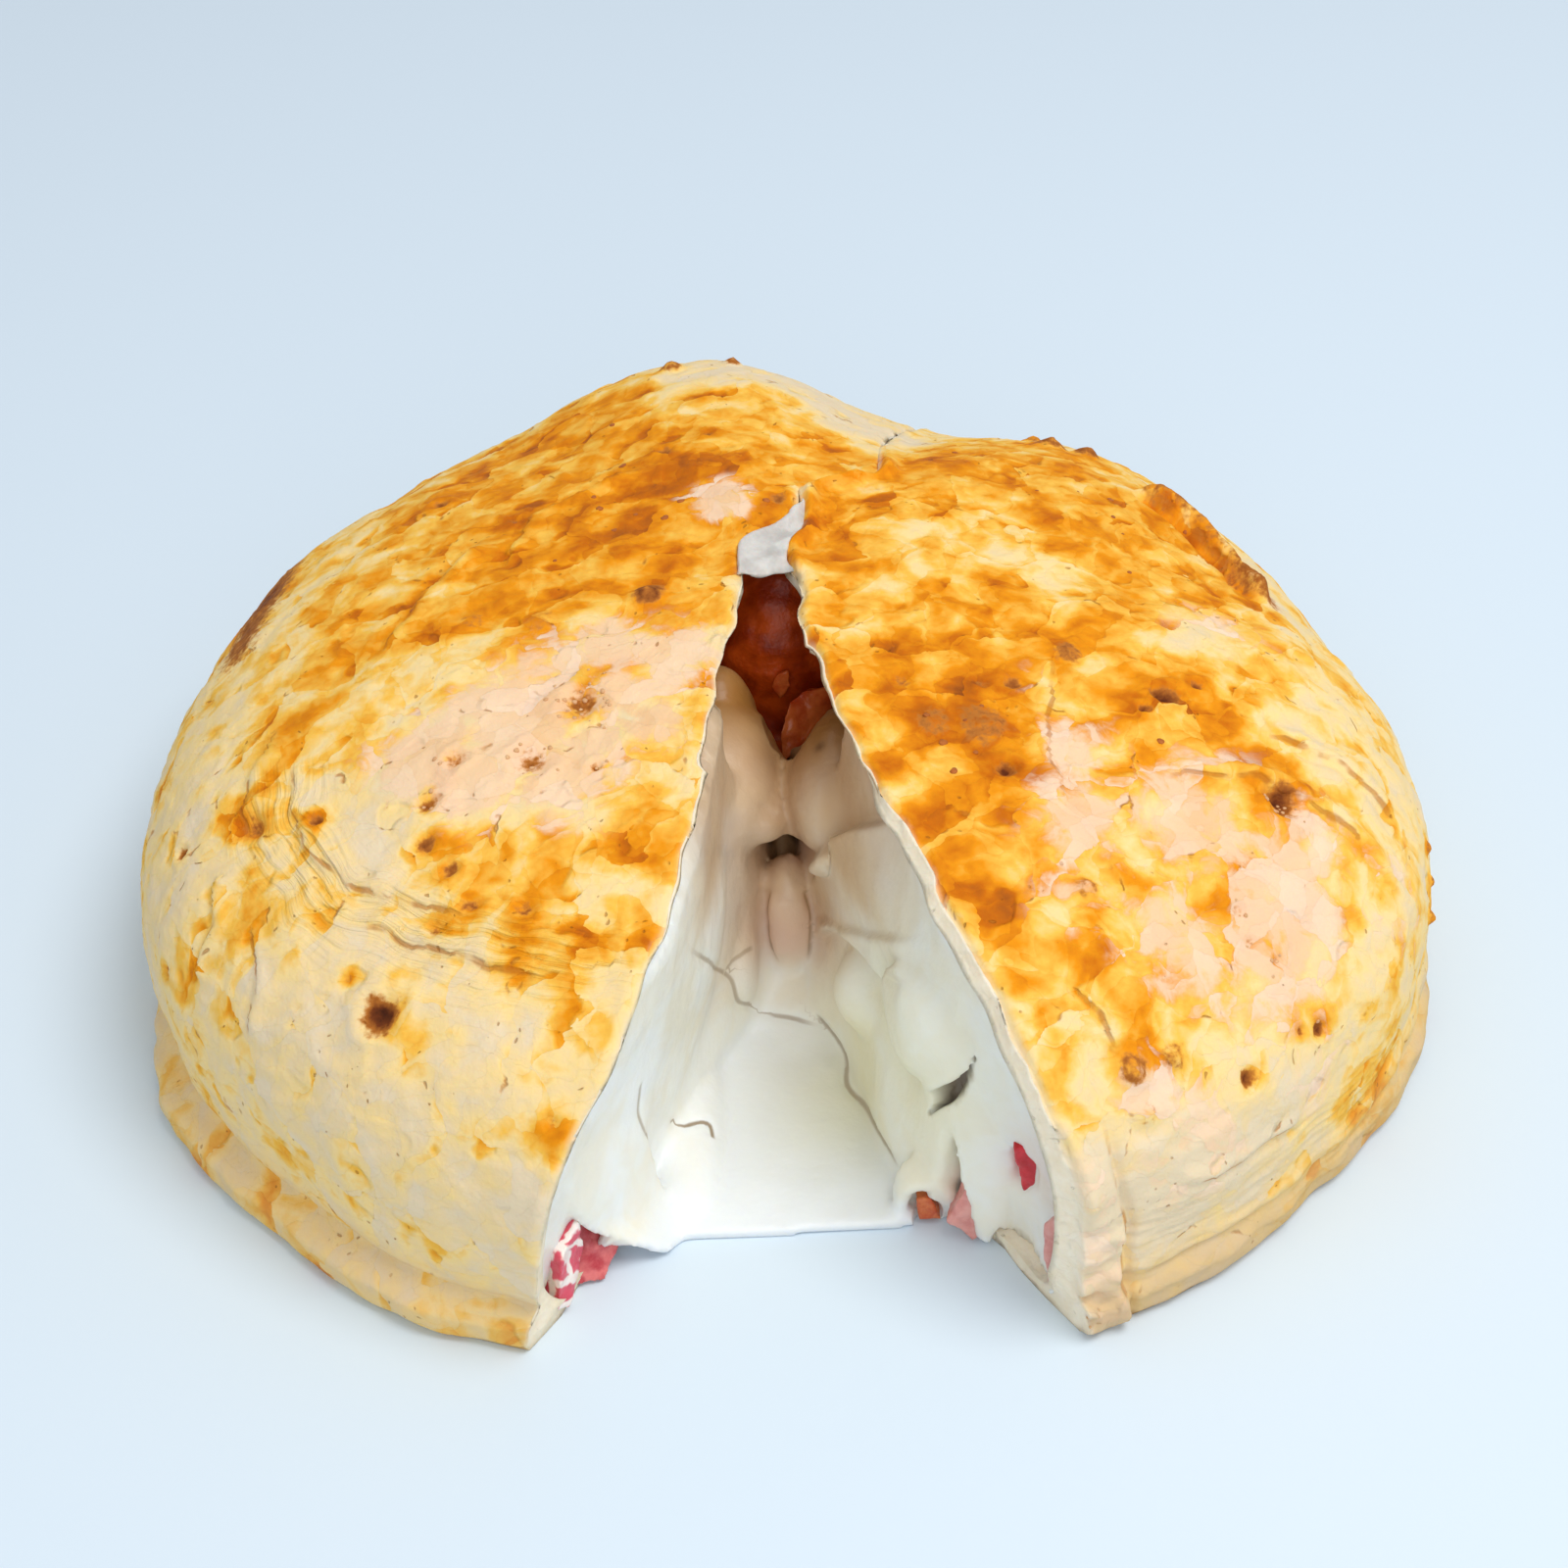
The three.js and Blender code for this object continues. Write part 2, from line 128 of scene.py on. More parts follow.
def flakes(points, size, salt):
    """Splits space into cells, and gives each point its cell's number and its way across it."""
    scaled = points / size
    base = np.floor(scaled).astype(np.int64)
    nearest = np.full(points.shape[:-1], 9.0)
    number = nearest.copy()
    across = np.zeros(points.shape)
    for offset in np.ndindex(3, 3, 3):
        cell = base + (np.array(offset) - 1)
        centre = cell + np.stack([chance(cell, salt + k) for k in range(3)], -1)
        away = scaled - centre
        distance = np.linalg.norm(away, axis=-1)
        closer = distance < nearest
        number = np.where(closer, chance(cell, salt + 7), number)
        across = np.where(closer[..., None], away, across)
        nearest = np.where(closer, distance, nearest)
    return number, across


# %% [markdown]
# ## The loaf's form
# These are the frame's own dimensions: a superellipse dome on a side that draws in a little above
# a pressed foot, with the swellings of the baked dough pushed out or in along its normal. A place
# on the loaf is its azimuth and how far down a line from the crown it lies: 0 is the crown, 1 the
# shoulder, 2 the foot and 3 the middle of the base. The two cuts are lines in plan that lean
# under the roof. All sizes are in millimetres.

# %% dome
RIM, TOP, SHOULDER, FULLNESS = 125, 80, 26, 2.3
WAIST_HEIGHT, WAIST_INSET, WAIST_DOWN = 10, 2.2, 0.6
LIP_REACH, LIP_WAVE, LIP_WAVES, LIP_TUCK = 1.3, 0.8, 11, 1.6
INNER_CORNER = 9
SPREAD_AZIMUTH, SPREAD_PUSH, SPREAD_WIDE = 218, 3, 20
SWELLINGS = [  # azimuth, how far down, push, spread in degrees, spread down the loaf
    (17, 0.72, -8, 18, 0.34), (42, 0.72, -2.5, 14, 0.34), (70, 0.58, -8, 14, 0.34),
    (101, 0.58, 8, 16, 0.34), (131, 0.58, -1.5, 14, 0.34), (168, 0.72, -2.5, 20, 0.38),
    (203, 1, 1.5, 16, 0.38), (-5, 1, -2.5, 16, 0.38), (-25, 1, 2, 16, 0.38),
]
OUTSIDE = dict(roof=0, side=0, floor=0)
INSIDE = dict(roof=2.6, side=3.4, floor=3)


def swell(azimuth, along):
    return sum(
        push * bell(turned_by(azimuth - a), wide) * bell(along - place, long)
        for a, place, push, wide, long in SWELLINGS
    )


def on_dome(azimuth, along, wall):
    """Radius, height and outward direction on the dome, from the crown (0) to the shoulder (1)."""
    rim = RIM - wall["side"]
    rise = TOP - wall["roof"] - SHOULDER
    turn = along * math.pi / 2
    radius = rim * np.sin(turn) ** (2 / FULLNESS)
    height = rise * np.abs(np.cos(turn)) ** (2 / FULLNESS)
    outward = (radius / rim) ** (FULLNESS - 1) / rim
    upward = (height / rise) ** (FULLNESS - 1) / rise
    length = np.hypot(outward, upward)
    push = swell(azimuth, along)
    outward, upward = outward / length, upward / length
    return radius + outward * push, SHOULDER + height + upward * push, outward, upward


def foot_radius(azimuth):
    wave = LIP_WAVE * np.sin(np.radians(LIP_WAVES * azimuth))
    spread = SPREAD_PUSH * bell(turned_by(azimuth - SPREAD_AZIMUTH), SPREAD_WIDE)
    return on_dome(azimuth, 1.0, OUTSIDE)[0] + LIP_REACH + wave + spread


def on_loaf(azimuth, down, wall, hub):
    """A point of the crust's outer or inner side, with its normal; lines end at the hub."""
    radius, height, outward, upward = on_dome(azimuth, np.minimum(down, 1), wall)
    shoulder_radius, shoulder_height, _, _ = on_dome(azimuth, 1.0, wall)
    below = clamp01(down - 1)
    if wall is OUTSIDE:
        drop = clamp01(below / WAIST_DOWN)
        side_radius = shoulder_radius - WAIST_INSET * (1 - np.sqrt(1 - drop**2))
        side_height = mix(shoulder_height, WAIST_HEIGHT, drop)
        lip = clamp01((below - WAIST_DOWN) / (1 - WAIST_DOWN))
        out = foot_radius(azimuth) - LIP_TUCK * smooth(lip, 0.7, 1) ** 2
        side_radius = mix(side_radius, out, smooth(lip, 0, 0.45))
        side_height = side_height * (1 - lip)
    else:
        side_radius = shoulder_radius - INNER_CORNER * (1 - np.sqrt(1 - below**2))
        side_height = mix(shoulder_height, wall["floor"], below)
    flat = clamp01(down - 2)
    on_side = down > 1
    radius = np.where(on_side, mix(side_radius, hub, flat), radius)
    height = np.where(on_side, side_height, height)
    sink = smooth(down, 1.9, 2.02)
    outward = np.where(on_side, 1 - sink, outward)
    upward = np.where(on_side, -sink, upward)
    angle = np.radians(azimuth)
    point = np.stack([radius * np.cos(angle), radius * np.sin(angle), height], -1)
    normal = np.stack([outward * np.cos(angle), outward * np.sin(angle), upward], -1)
    return point, normal


def spot(azimuth, down):
    """The point on the loaf's skin at an azimuth and a place down it."""
    return on_loaf(np.array(float(azimuth)), np.array(float(down)), OUTSIDE, 0.0)[0]


print("the foot's radius at the right is", round(float(foot_radius(0.0)), 1), "mm")

# %% cuts
CUT_LENGTH, LEAN_TOP, GAP = 115, 60, 0.3
TIP_NARROWS, TIP_CLOSES = 12, 21
LEFT_CUT = dict(start=-7, slope=-13, flare=-14.5, power=4, lean=-12, lean_from=25, lean_to=95)
RIGHT_CUT = dict(start=3, slope=24, flare=15.5, power=3, lean=4, lean_from=70, lean_to=105)
SEAM_START, SEAM_SLOPE = 2.85, 0.05
SEAM_BENDS = ((16, 30, 44), (12, 60, 135))  # how far aside, and from where to where along Y
TORN_WAVES = ((0.4, 0.27, 1), (0.25, 0.61, 2))  # reach, turn for each mm, share of the phase


def cut_x(cut, y, z):
    t = np.maximum(0, -y) / CUT_LENGTH
    lean = cut["lean"] * smooth(-y, cut["lean_from"], cut["lean_to"]) * (1 - clamp01(z / LEAN_TOP))
    return cut["start"] + cut["slope"] * t + cut["flare"] * t ** cut["power"] + lean


def seam_x(y):
    return SEAM_START + SEAM_SLOPE * y + sum(push * smooth(y, a, b) for push, a, b in SEAM_BENDS)


def torn(y, phase):
    """How a torn edge wanders beside its cut."""
    wander = sum(reach * np.sin(rate * y + turns * phase) for reach, rate, turns in TORN_WAVES)
    return wander * smooth(-y, 3, 12)


def right_edge(y, z):
    pulled = span(-y, 3, 14, 48, 70, 2.6) + 0.9 * bell(y + 20, 1.0)
    overlap = span(y, 0, 7, 11, 19, 2.8) + span(y, 26, 36, 60, 72, 1.2)
    front = cut_x(RIGHT_CUT, y, z) - pulled + torn(y, 2)
    return np.where(y <= 0, front, seam_x(y) + GAP / 2 - overlap)


def left_edge(y, z):
    pulled = 1.4 * bell(y + 38, 16) + 0.4 * smooth(-y, 5, 20) - 0.9 * bell(y + 53, 1.2)
    front = cut_x(LEFT_CUT, y, z) - pulled + torn(y, 5)
    closing = smooth(y, TIP_NARROWS, TIP_CLOSES)
    return np.where(y <= 0, front, mix(LEFT_CUT["start"], seam_x(y) - GAP / 2, closing))


EDGES = dict(left=left_edge, right=right_edge)
wide = float(right_edge(-CUT_LENGTH, 0) - left_edge(-CUT_LENGTH, 0))
print("the wedge is", round(wide, 1), "mm wide at the front")

# %% [markdown]
# ## Meshes and marks
# Every piece is worked on as an array of points, because many thousands of them move quickly that
# way. A mark is a number kept on each point of a mesh. The relief writes the marks, and a finish
# reads them, so that a burnt blister is burnt just where it rises.

# %% meshes and marks
def make_mesh(name, points, faces, marks=None):
    """A smooth mesh object from points about the crown. Marks are numbers kept on its points."""
    data = bpy.data.meshes.new(name)
    data.vertices.add(len(points))
    data.vertices.foreach_set("co", ((points + CROWN) * MM).astype(np.float32).ravel())
    data.loops.add(len(faces) * 3)
    data.loops.foreach_set("vertex_index", faces.astype(np.int32).ravel())
    data.polygons.add(len(faces))
    data.polygons.foreach_set("loop_start", np.arange(0, len(faces) * 3, 3, dtype=np.int32))
    data.polygons.foreach_set("use_smooth", np.ones(len(faces), bool))
    data.update(calc_edges=True)
    data.validate()
    piece = bpy.data.objects.new(name, data)
    bpy.context.scene.collection.objects.link(piece)
    for mark, values in (marks or {}).items():
        set_mark(piece, mark, values)
    return piece


def outward_faces(points, faces):
    """The faces, turned about if the body that they close is inside out."""
    corner = points[faces]
    volume = np.einsum("ij,ij->i", corner[:, 0], np.cross(corner[:, 1], corner[:, 2])).sum()
    return faces if volume > 0 else faces[:, ::-1]


def set_mark(piece, mark, values):
    attribute = piece.data.attributes.get(mark) or piece.data.attributes.new(mark, "FLOAT", "POINT")
    attribute.data.foreach_set("value", np.asarray(values, np.float32))


def points_of(piece):
    """A piece's points in millimetres about the crown, and their normals."""
    read = {}
    for key in ("co", "normal"):
        values = np.empty(len(piece.data.vertices) * 3, np.float32)
        piece.data.vertices.foreach_get(key, values)
        read[key] = values.reshape(-1, 3)
    return read["co"] / MM - CROWN, read["normal"]


def move_points(piece, points):
    piece.data.vertices.foreach_set("co", ((points + CROWN) * MM).astype(np.float32).ravel())
    piece.data.update()


def joined(name, pieces):
    bpy.ops.object.select_all(action="DESELECT")
    for piece in pieces:
        piece.select_set(True)
    bpy.context.view_layer.objects.active = pieces[0]
    bpy.ops.object.join()
    pieces[0].name = name
    return pieces[0]


def baked(piece):
    """The same object with its modifiers worked out into a plain mesh."""
    shown = piece.evaluated_get(bpy.context.evaluated_depsgraph_get())
    data = bpy.data.meshes.new_from_object(shown)
    piece.modifiers.clear()
    piece.data = data
    data.polygons.foreach_set("use_smooth", np.ones(len(data.polygons), bool))
    data.update()
    return piece


def hand_over(piece, finish, node):
    """Gives a piece its finish and its body, and hides the frame node that it stands for."""
    piece.data.materials.append(finish)
    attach(piece, "root")
    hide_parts(node)
    print(piece.name, len(piece.data.polygons), "faces")


# %% [markdown]
# ## Finishes
# Each finish is mixed from noise in the object's own space and from the marks kept on the points.
# A few small words for shader nodes keep the recipes readable.

# %% words for finishes
def paint(code):
    """A colour written as on the web, as the shader's linear colour."""
    parts = [int(code[k : k + 2], 16) / 255 for k in (0, 2, 4)]
    light = [p / 12.92 if p <= 0.04045 else ((p + 0.055) / 1.055) ** 2.4 for p in parts]
    return (*light, 1.0)


class Finish:
    """A material being mixed."""

    def __init__(self, name):
        self.material = bpy.data.materials.new(name)
        self.material.use_nodes = True
        self.tree = self.material.node_tree
        self.shader = self.tree.nodes["Principled BSDF"]
        self.place = self.node("ShaderNodeTexCoord").outputs["Object"]

    def node(self, kind, inputs=None, **settings):
        made = self.tree.nodes.new(kind)
        for key, value in settings.items():
            setattr(made, key, value)
        for key, value in (inputs or {}).items():
            self.put(made.inputs[key], value)
        return made

    def put(self, socket, value):
        if isinstance(value, bpy.types.NodeSocket):
            self.tree.links.new(value, socket)
        else:
            socket.default_value = value

    def set(self, **values):
        for key, value in values.items():
            self.put(self.shader.inputs[key.replace("_", " ")], value)

    def mark(self, name):
        return self.node("ShaderNodeAttribute", attribute_name=name).outputs["Fac"]

    def noise(self, size, detail=3.0, at=None):
        """Noise from 0 to 1 with bumps about size mm wide."""
        inputs = {"Vector": at or self.place, "Scale": 1 / (size * MM), "Detail": detail}
        return self.node("ShaderNodeTexNoise", inputs | {"Roughness": 0.55}).outputs["Fac"]

    def cells(self, size, at, feature="F1"):
        """Distance in uneven cells about size mm wide."""
        inputs = {"Vector": at, "Scale": 1 / (size * MM)}
        return self.node("ShaderNodeTexVoronoi", inputs, feature=feature).outputs["Distance"]

    def sum(self, operation, a, b=0.0, c=0.0):
        inputs = {0: a, 1: b, 2: c}
        return self.node("ShaderNodeMath", inputs, operation=operation).outputs[0]

    def level(self, value, start, end, low=0.0, high=1.0):
        inputs = {"Value": value, "From Min": start, "From Max": end, "To Min": low, "To Max": high}
        made = self.node("ShaderNodeMapRange", inputs, interpolation_type="SMOOTHSTEP")
        return made.outputs[0]

    def blend(self, share, a, b):
        return self.node("ShaderNodeMix", {0: share, 6: a, 7: b}, data_type="RGBA").outputs[2]

    def vector(self, operation, a, b, output=0):
        made = self.node("ShaderNodeVectorMath", {0: a}, operation=operation)
        self.put(made.inputs["Scale" if operation == "SCALE" else 1], b)
        return made.outputs[output]

    def ramp(self, value, stops):
        made = self.node("ShaderNodeValToRGB", {"Fac": value})
        bar = made.color_ramp
        while len(bar.elements) < len(stops):
            bar.elements.new(0.5)
        for element, (place, colour) in zip(bar.elements, stops):
            element.position = place
            element.color = paint(colour)
        return made.outputs["Color"]

    def petals(self, size, at, lean):
        """Flakes about size mm wide: each one's tone, and how far across it along lean."""
        cell = self.node("ShaderNodeTexVoronoi", {"Vector": at, "Scale": 1 / (size * MM)})
        tone = self.node("ShaderNodeSeparateColor", {"Color": cell.outputs["Color"]}).outputs[0]
        off = self.vector("SUBTRACT", at, cell.outputs["Position"])
        across = self.vector("DOT_PRODUCT", off, lean, "Value")
        return tone, self.sum("MULTIPLY", across, 1 / (size * MM))

    def line(self, side, reach, width):
        """A fine line where the mark side passes 0, as strong as the mark reach."""
        off = self.sum("ABSOLUTE", self.mark(side))
        return self.sum("MULTIPLY", self.level(off, width / 4, width, 1, 0), self.mark(reach))

    def warped(self, size, reach, at=None):
        """The object's space pulled about by up to reach mm."""
        at = at or self.place
        inputs = {"Vector": at, "Scale": 1 / (size * MM), "Detail": 2.0}
        pull = self.node("ShaderNodeTexNoise", inputs).outputs["Color"]
        pull = self.vector("SUBTRACT", pull, (0.5,) * 3)
        return self.vector("ADD", at, self.vector("SCALE", pull, 2 * reach * MM))

    def bump(self, height, depth):
        """Relief too fine for the mesh; depth is in mm."""
        inputs = {"Height": height, "Distance": depth * MM, "Strength": 1.0}
        return self.node("ShaderNodeBump", inputs).outputs[0]

    def soft(self, weight, radius, depth):
        """Lets light into the surface, down to depth mm."""
        self.set(Subsurface_Weight=weight, Subsurface_Radius=radius, Subsurface_Scale=depth * MM)


# %% [markdown]
# ## The baked crust
# The dough is a skin about 4 mm thick on the roof and 7 mm at the side. It could be cut from a
# dense dome with boolean tools, but that leaves slivers along the cuts just where the eye goes.
# So each piece is a stack of rings instead: a ring runs over the outer skin from the front cut to
# the seam, across the seam's wall, back along the inner side and across the front cut's wall. The
# rings follow the cuts, so the torn edges can be worked in full detail.

# %% where a ring ends
HUBS = dict(left=(7.0, 180.0), right=(3.0, 0.0))  # where the rings close: radius and azimuth
STEP, FARTHEST = 0.1, 170  # in degrees from the hub's azimuth
LIP_BACK, LIP_OUT = -1.2, 3.1  # how far the inner edge lies back, and how far it comes out


def reach_of_ring(down, wall, side):
    """The azimuths at which a ring meets the front cut and the seam."""
    hub, middle = HUBS[side]
    ends = []
    for way in (1, -1) if side == "left" else (-1, 1):
        azimuths = middle + way * np.arange(0, FARTHEST, STEP)
        point, _ = on_loaf(azimuths, np.full_like(azimuths, down), wall, hub)
        x, y, z = point.T
        past = x - left_edge(y, z) if side == "left" else right_edge(y, z) - x
        k = max(1, int(np.argmax(past > 0)))
        share = clamp01(past[k - 1] / (past[k - 1] - past[k]))
        ends.append(azimuths[k - 1] + way * STEP * share)
    return ends


def pull_lip(points, side):
    """The crust's inner edge lies back under its skin, but is a pale lip along the right front."""
    x, y, z = points.T
    reach = LIP_BACK if side == "left" else LIP_BACK + LIP_OUT * smooth(-y, 48, 66)
    away = np.abs(x - EDGES[side](y, z))
    shown = smooth(-y, 0, 14) * smooth(z, 3, 12)
    points[:, 0] += (reach if side == "left" else -reach) * bell(away, 2.5) * shown


# %% crust rings
STRIPS = 6  # rows of faces across the walls of the cuts
CROWD = 0.35  # how much closer the columns stand at the front
BASE_CROWD = 0.8
SKIN, SEAM_WALL, LINING, CUT_WALL = range(4)  # what a point lies on


def hub_turn(wall, hub):
    """How far down from the crown a wall reaches the hub's radius."""
    return 2 / math.pi * math.asin((hub / (RIM - wall["side"])) ** (FULLNESS / 2))


def one_ring(row, side, shares):
    """A ring's points, normals, places and labels: skin, seam wall, lining, cut wall."""
    hub, _ = HUBS[side]
    lines = []
    for wall, share in zip((OUTSIDE, INSIDE), shares):
        down = mix(hub_turn(wall, hub), 1, row) if row < 1 else row
        azimuths = mix(*reach_of_ring(down, wall, side), share)
        downs = np.full_like(azimuths, down)
        lines.append((*on_loaf(azimuths, downs, wall, hub), np.stack([azimuths, downs], -1)))
    outer, inner = lines
    pull_lip(inner[0], side)
    cross = np.arange(1, STRIPS)[:, None] / STRIPS
    seam = mix(outer[0][-1], inner[0][0], cross)
    cut = mix(inner[0][-1], outer[0][0], cross)
    blank = np.zeros((STRIPS - 1, 3))
    at_seam, at_cut = (np.tile(outer[2][end], (STRIPS - 1, 1)) for end in (-1, 0))
    counts = (len(outer[0]), STRIPS - 1, len(inner[0]), STRIPS - 1)
    return (
        np.concatenate([outer[0], seam, inner[0], cut]),
        np.concatenate([outer[1], blank, -inner[1], blank]),
        np.concatenate([outer[2], at_seam, inner[2], at_cut]),
        np.repeat((SKIN, SEAM_WALL, LINING, CUT_WALL), counts),
    )


def hub_cap(down_outer, down_inner, side):
    """The short line through the crust in which all rings end, at the crown or in the base."""
    hub, azimuth = HUBS[side]
    outer, inner = (
        on_loaf(np.array(azimuth), np.array(down), wall, hub)
        for down, wall in ((down_outer, OUTSIDE), (down_inner, INSIDE))
    )
    normals = np.zeros((STRIPS + 1, 3))
    normals[0], normals[-1] = outer[1], -inner[1]
    return (
        mix(outer[0], inner[0], np.arange(STRIPS + 1)[:, None] / STRIPS),
        normals,
        np.tile([azimuth, down_outer], (STRIPS + 1, 1)),
        np.array([SKIN] + [SEAM_WALL] * (STRIPS - 1) + [LINING]),
    )


def crust_rings(side, outer_count, inner_count, roof_rows, side_rows, base_rows):
    """One piece of crust, still without its relief: points, normals, places, labels and faces."""
    hub, _ = HUBS[side]
    share = np.linspace(0, 1, outer_count + 1)
    shares = (share * (1 - CROWD) + CROWD * share**2, np.linspace(1, 0, inner_count + 1))
    rows = np.concatenate([
        np.linspace(0, 1, roof_rows + 1)[1:],
        1 + np.linspace(0, 1, side_rows + 1)[1:],
        2 + np.linspace(0, 1, base_rows + 2)[1:-1] ** BASE_CROWD,
    ])
    parts = [one_ring(row, side, shares) for row in rows]
    length = len(parts[0][0])
    parts.append(hub_cap(hub_turn(OUTSIDE, hub), hub_turn(INSIDE, hub), side))
    parts.append(hub_cap(3.0, 3.0, side))
    points, normals, places, labels = (np.concatenate(column) for column in zip(*parts))

    def hub_line(first):
        middle = list(range(first + 1, first + STRIPS))
        last = [first + STRIPS] * (inner_count + 1)
        return np.array([first] * (outer_count + 1) + middle + last + middle[::-1])

    cap = len(rows) * length
    lines = [hub_line(cap)] + [np.arange(length) + k * length for k in range(len(rows))]
    lines = np.array(lines + [hub_line(cap + STRIPS + 1)])
    a, b = lines[:-1], lines[1:]
    a2, b2 = np.roll(a, -1, 1), np.roll(b, -1, 1)
    faces = np.concatenate([np.stack(f, -1).reshape(-1, 3) for f in ((a, b, b2), (a, b2, a2))])
    whole = np.all(faces != np.roll(faces, 1, 1), axis=1)
    faces = outward_faces(points, faces[whole])
    return SimpleNamespace(
        points=points, normals=normals, places=places, labels=labels, faces=faces, side=side
    )


# %% [markdown]
# ## Relief of the skin
# Where the dough was stretched over the filling it lies in folds. Steam raised blisters, the
# biggest burnt at their tips. The toasted skin has split into thin overlapping flakes. Each named
# place is given by its azimuth and how far down the loaf it is.

# %% folds, blisters and pits
FOLDS = [  # the line's places, its height and its width: a ridge with a hollow above it
    ([(200, 0.52), (212, 0.57), (224, 0.55), (236, 0.51)], 0.7, 3.5),
    ([(193, 0.52), (198, 0.59), (205, 0.63)], 0.5, 4.0),
    ([(224, 0.60), (234, 0.57), (246, 0.56)], 0.6, 2.4),
    ([(206, 0.69), (210, 0.75), (211, 0.85)], 0.7, 2.4),
    ([(214, 0.70), (219, 0.77), (220, 0.86)], 0.4, 2.2),
    ([(155, 0.30), (172, 0.33), (186, 0.38)], 0.8, 3.0),
    ([(120, 0.24), (146, 0.27), (166, 0.25)], 0.8, 2.5),
    ([(296, 0.60), (297, 0.66), (297, 0.72)], 0.6, 1.4),
    ([(322, 0.42), (330, 0.52), (333, 0.66), (332, 0.80)], 0.9, 3.0),
    ([(338, 0.50), (341, 0.62), (340, 0.76)], 0.9, 3.0),
    ([(36, 0.48), (29, 0.51), (23, 0.52), (16, 0.53), (10, 0.54)], 2.9, 3.2),
    ([(308, 0.40), (313, 0.33), (322, 0.28), (338, 0.24)], 0.7, 2.4),
    ([(300, 0.98), (307, 1.02), (314, 1.0)], 0.5, 2.0),
]
FIBRES = [(196, 0.52), (208, 0.58), (221, 0.59), (234, 0.56), (247, 0.53), (258, 0.52)]
FIBRES_WIDTH = 8  # the line along which the dough is drawn into fibres, and how wide
BLISTERS = [  # azimuth, place, radius, height, how burnt
    (188, 0.10, 2.6, 1.6, 0.9), (190, 0.20, 2.6, 0.8, 0.4), (184, 0.27, 2.4, 0.8, 0.4),
    (103, 0.51, 2.2, 1.6, 0.7), (95, 0.52, 1.8, 1.4, 0.7), (52, 0.52, 3.2, 1.8, 0.7),
    (48, 0.55, 2.6, 2.0, 0.8), (56, 0.56, 2.0, 1.4, 0.5), (303, 0.49, 2.0, 1.2, 0.5),
    (308, 0.48, 2.2, 0.9, 0.3), (298, 0.75, 2.6, 1.6, 0.6), (302, 0.76, 2.2, 1.3, 0.5),
    (298, 0.83, 2.0, 1.0, 0.3), (338, 0.26, 2.4, 1.0, 0.6), (309, 0.25, 4.0, 1.2, 0.55),
    (302, 0.22, 3.0, 0.9, 0.5), (346, 0.92, 1.4, 1.1, 0.5), (343, 0.95, 1.1, 0.9, 0.5),
    (340, 0.98, 1.4, 1.2, 0.5),
]
PITS = [  # azimuth, place, radius, depth, how burnt
    (104, 0.26, 1.3, 0.8, 0.6), (114, 0.25, 1.6, 0.9, 0.7), (128, 0.25, 1.5, 0.9, 0.6),
    (144, 0.44, 1.8, 0.9, 0.6), (148, 0.29, 1.4, 0.7, 0.5), (90, 0.11, 2.2, 0.6, 0.55),
    (222, 0.22, 3.6, 1.5, 0.55), (226, 0.31, 3.0, 1.5, 0.5), (217, 0.36, 2.0, 1.2, 0.5),
    (236, 0.28, 1.2, 0.8, 0.5), (220, 0.42, 1.8, 0.9, 0.6), (224, 0.46, 2.0, 0.9, 0.6),
    (229, 0.47, 1.6, 0.8, 0.6), (234, 0.50, 1.7, 0.9, 0.5), (240, 0.48, 1.8, 0.9, 0.5),
    (232, 0.55, 1.6, 0.8, 0.5), (210, 0.53, 1.5, 1.2, 0.8), (204, 0.61, 3.2, 1.6, 0.45),
    (232, 0.69, 3.4, 1.2, 1.0), (227, 0.67, 1.0, 0.5, 0.4), (226, 0.71, 0.9, 0.5, 0.35),
    (224, 0.75, 0.9, 0.4, 0.35), (199, 0.75, 1.6, 1.1, 0.7), (206, 0.91, 1.6, 1.0, 0.6),
    (250, 0.76, 1.5, 0.7, 0.4), (306, 0.31, 2.0, 1.8, 0.9), (336, 0.37, 2.4, 2.2, 1.0),
    (332, 0.36, 1.3, 1.4, 0.8), (341, 0.40, 1.5, 1.4, 0.8), (330, 0.56, 3.4, 2.2, 0.9),
    (308, 0.86, 2.3, 1.0, 0.8), (317, 0.87, 1.6, 1.0, 0.8), (315, 0.85, 1.0, 0.7, 0.6),
    (304, 0.16, 2.0, 0.9, 0.5), (316, 0.62, 1.3, 0.9, 0.4), (315, 0.67, 1.3, 0.9, 0.4),
    (316, 0.72, 1.2, 0.8, 0.4), (292, 1.80, 1.6, 1.4, 0.7), (324, 0.23, 1.8, 1.0, 0.7),
    (319, 0.21, 1.2, 0.8, 0.6),
]

print(len(FOLDS), "folds,", len(BLISTERS), "blisters,", len(PITS), "pits")

# %% lines and spots on a skin
def beside(points, normals, knots, stations):
    """Distance from a line, with a minus sign on one side, and the way along it by its stations."""
    best = np.full(len(points), 1e9)
    signed, along = best.copy(), np.zeros(len(points))
    for k, (a, b) in enumerate(zip(knots[:-1], knots[1:])):
        way = b - a
        t = clamp01(((points - a) @ way) / max(1e-6, way @ way))
        off = points - (a + t[:, None] * way)
        distance = np.linalg.norm(off, axis=1)
        side = np.sign(np.einsum("ij,ij->i", np.cross(normals, way), off))
        closer = distance < best
        best = np.where(closer, distance, best)
        signed = np.where(closer, distance * side, signed)
        along = np.where(closer, mix(stations[k], stations[k + 1], t), along)
    return signed, along


def beside_places(points, normals, line):
    """The same for a line of places on the loaf, with its length."""
    knots = np.array([spot(*place) for place in line])
    stations = np.concatenate([[0], np.cumsum(np.linalg.norm(np.diff(knots, axis=0), axis=1))])
    return (*beside(points, normals, knots, stations / stations[-1]), stations[-1])


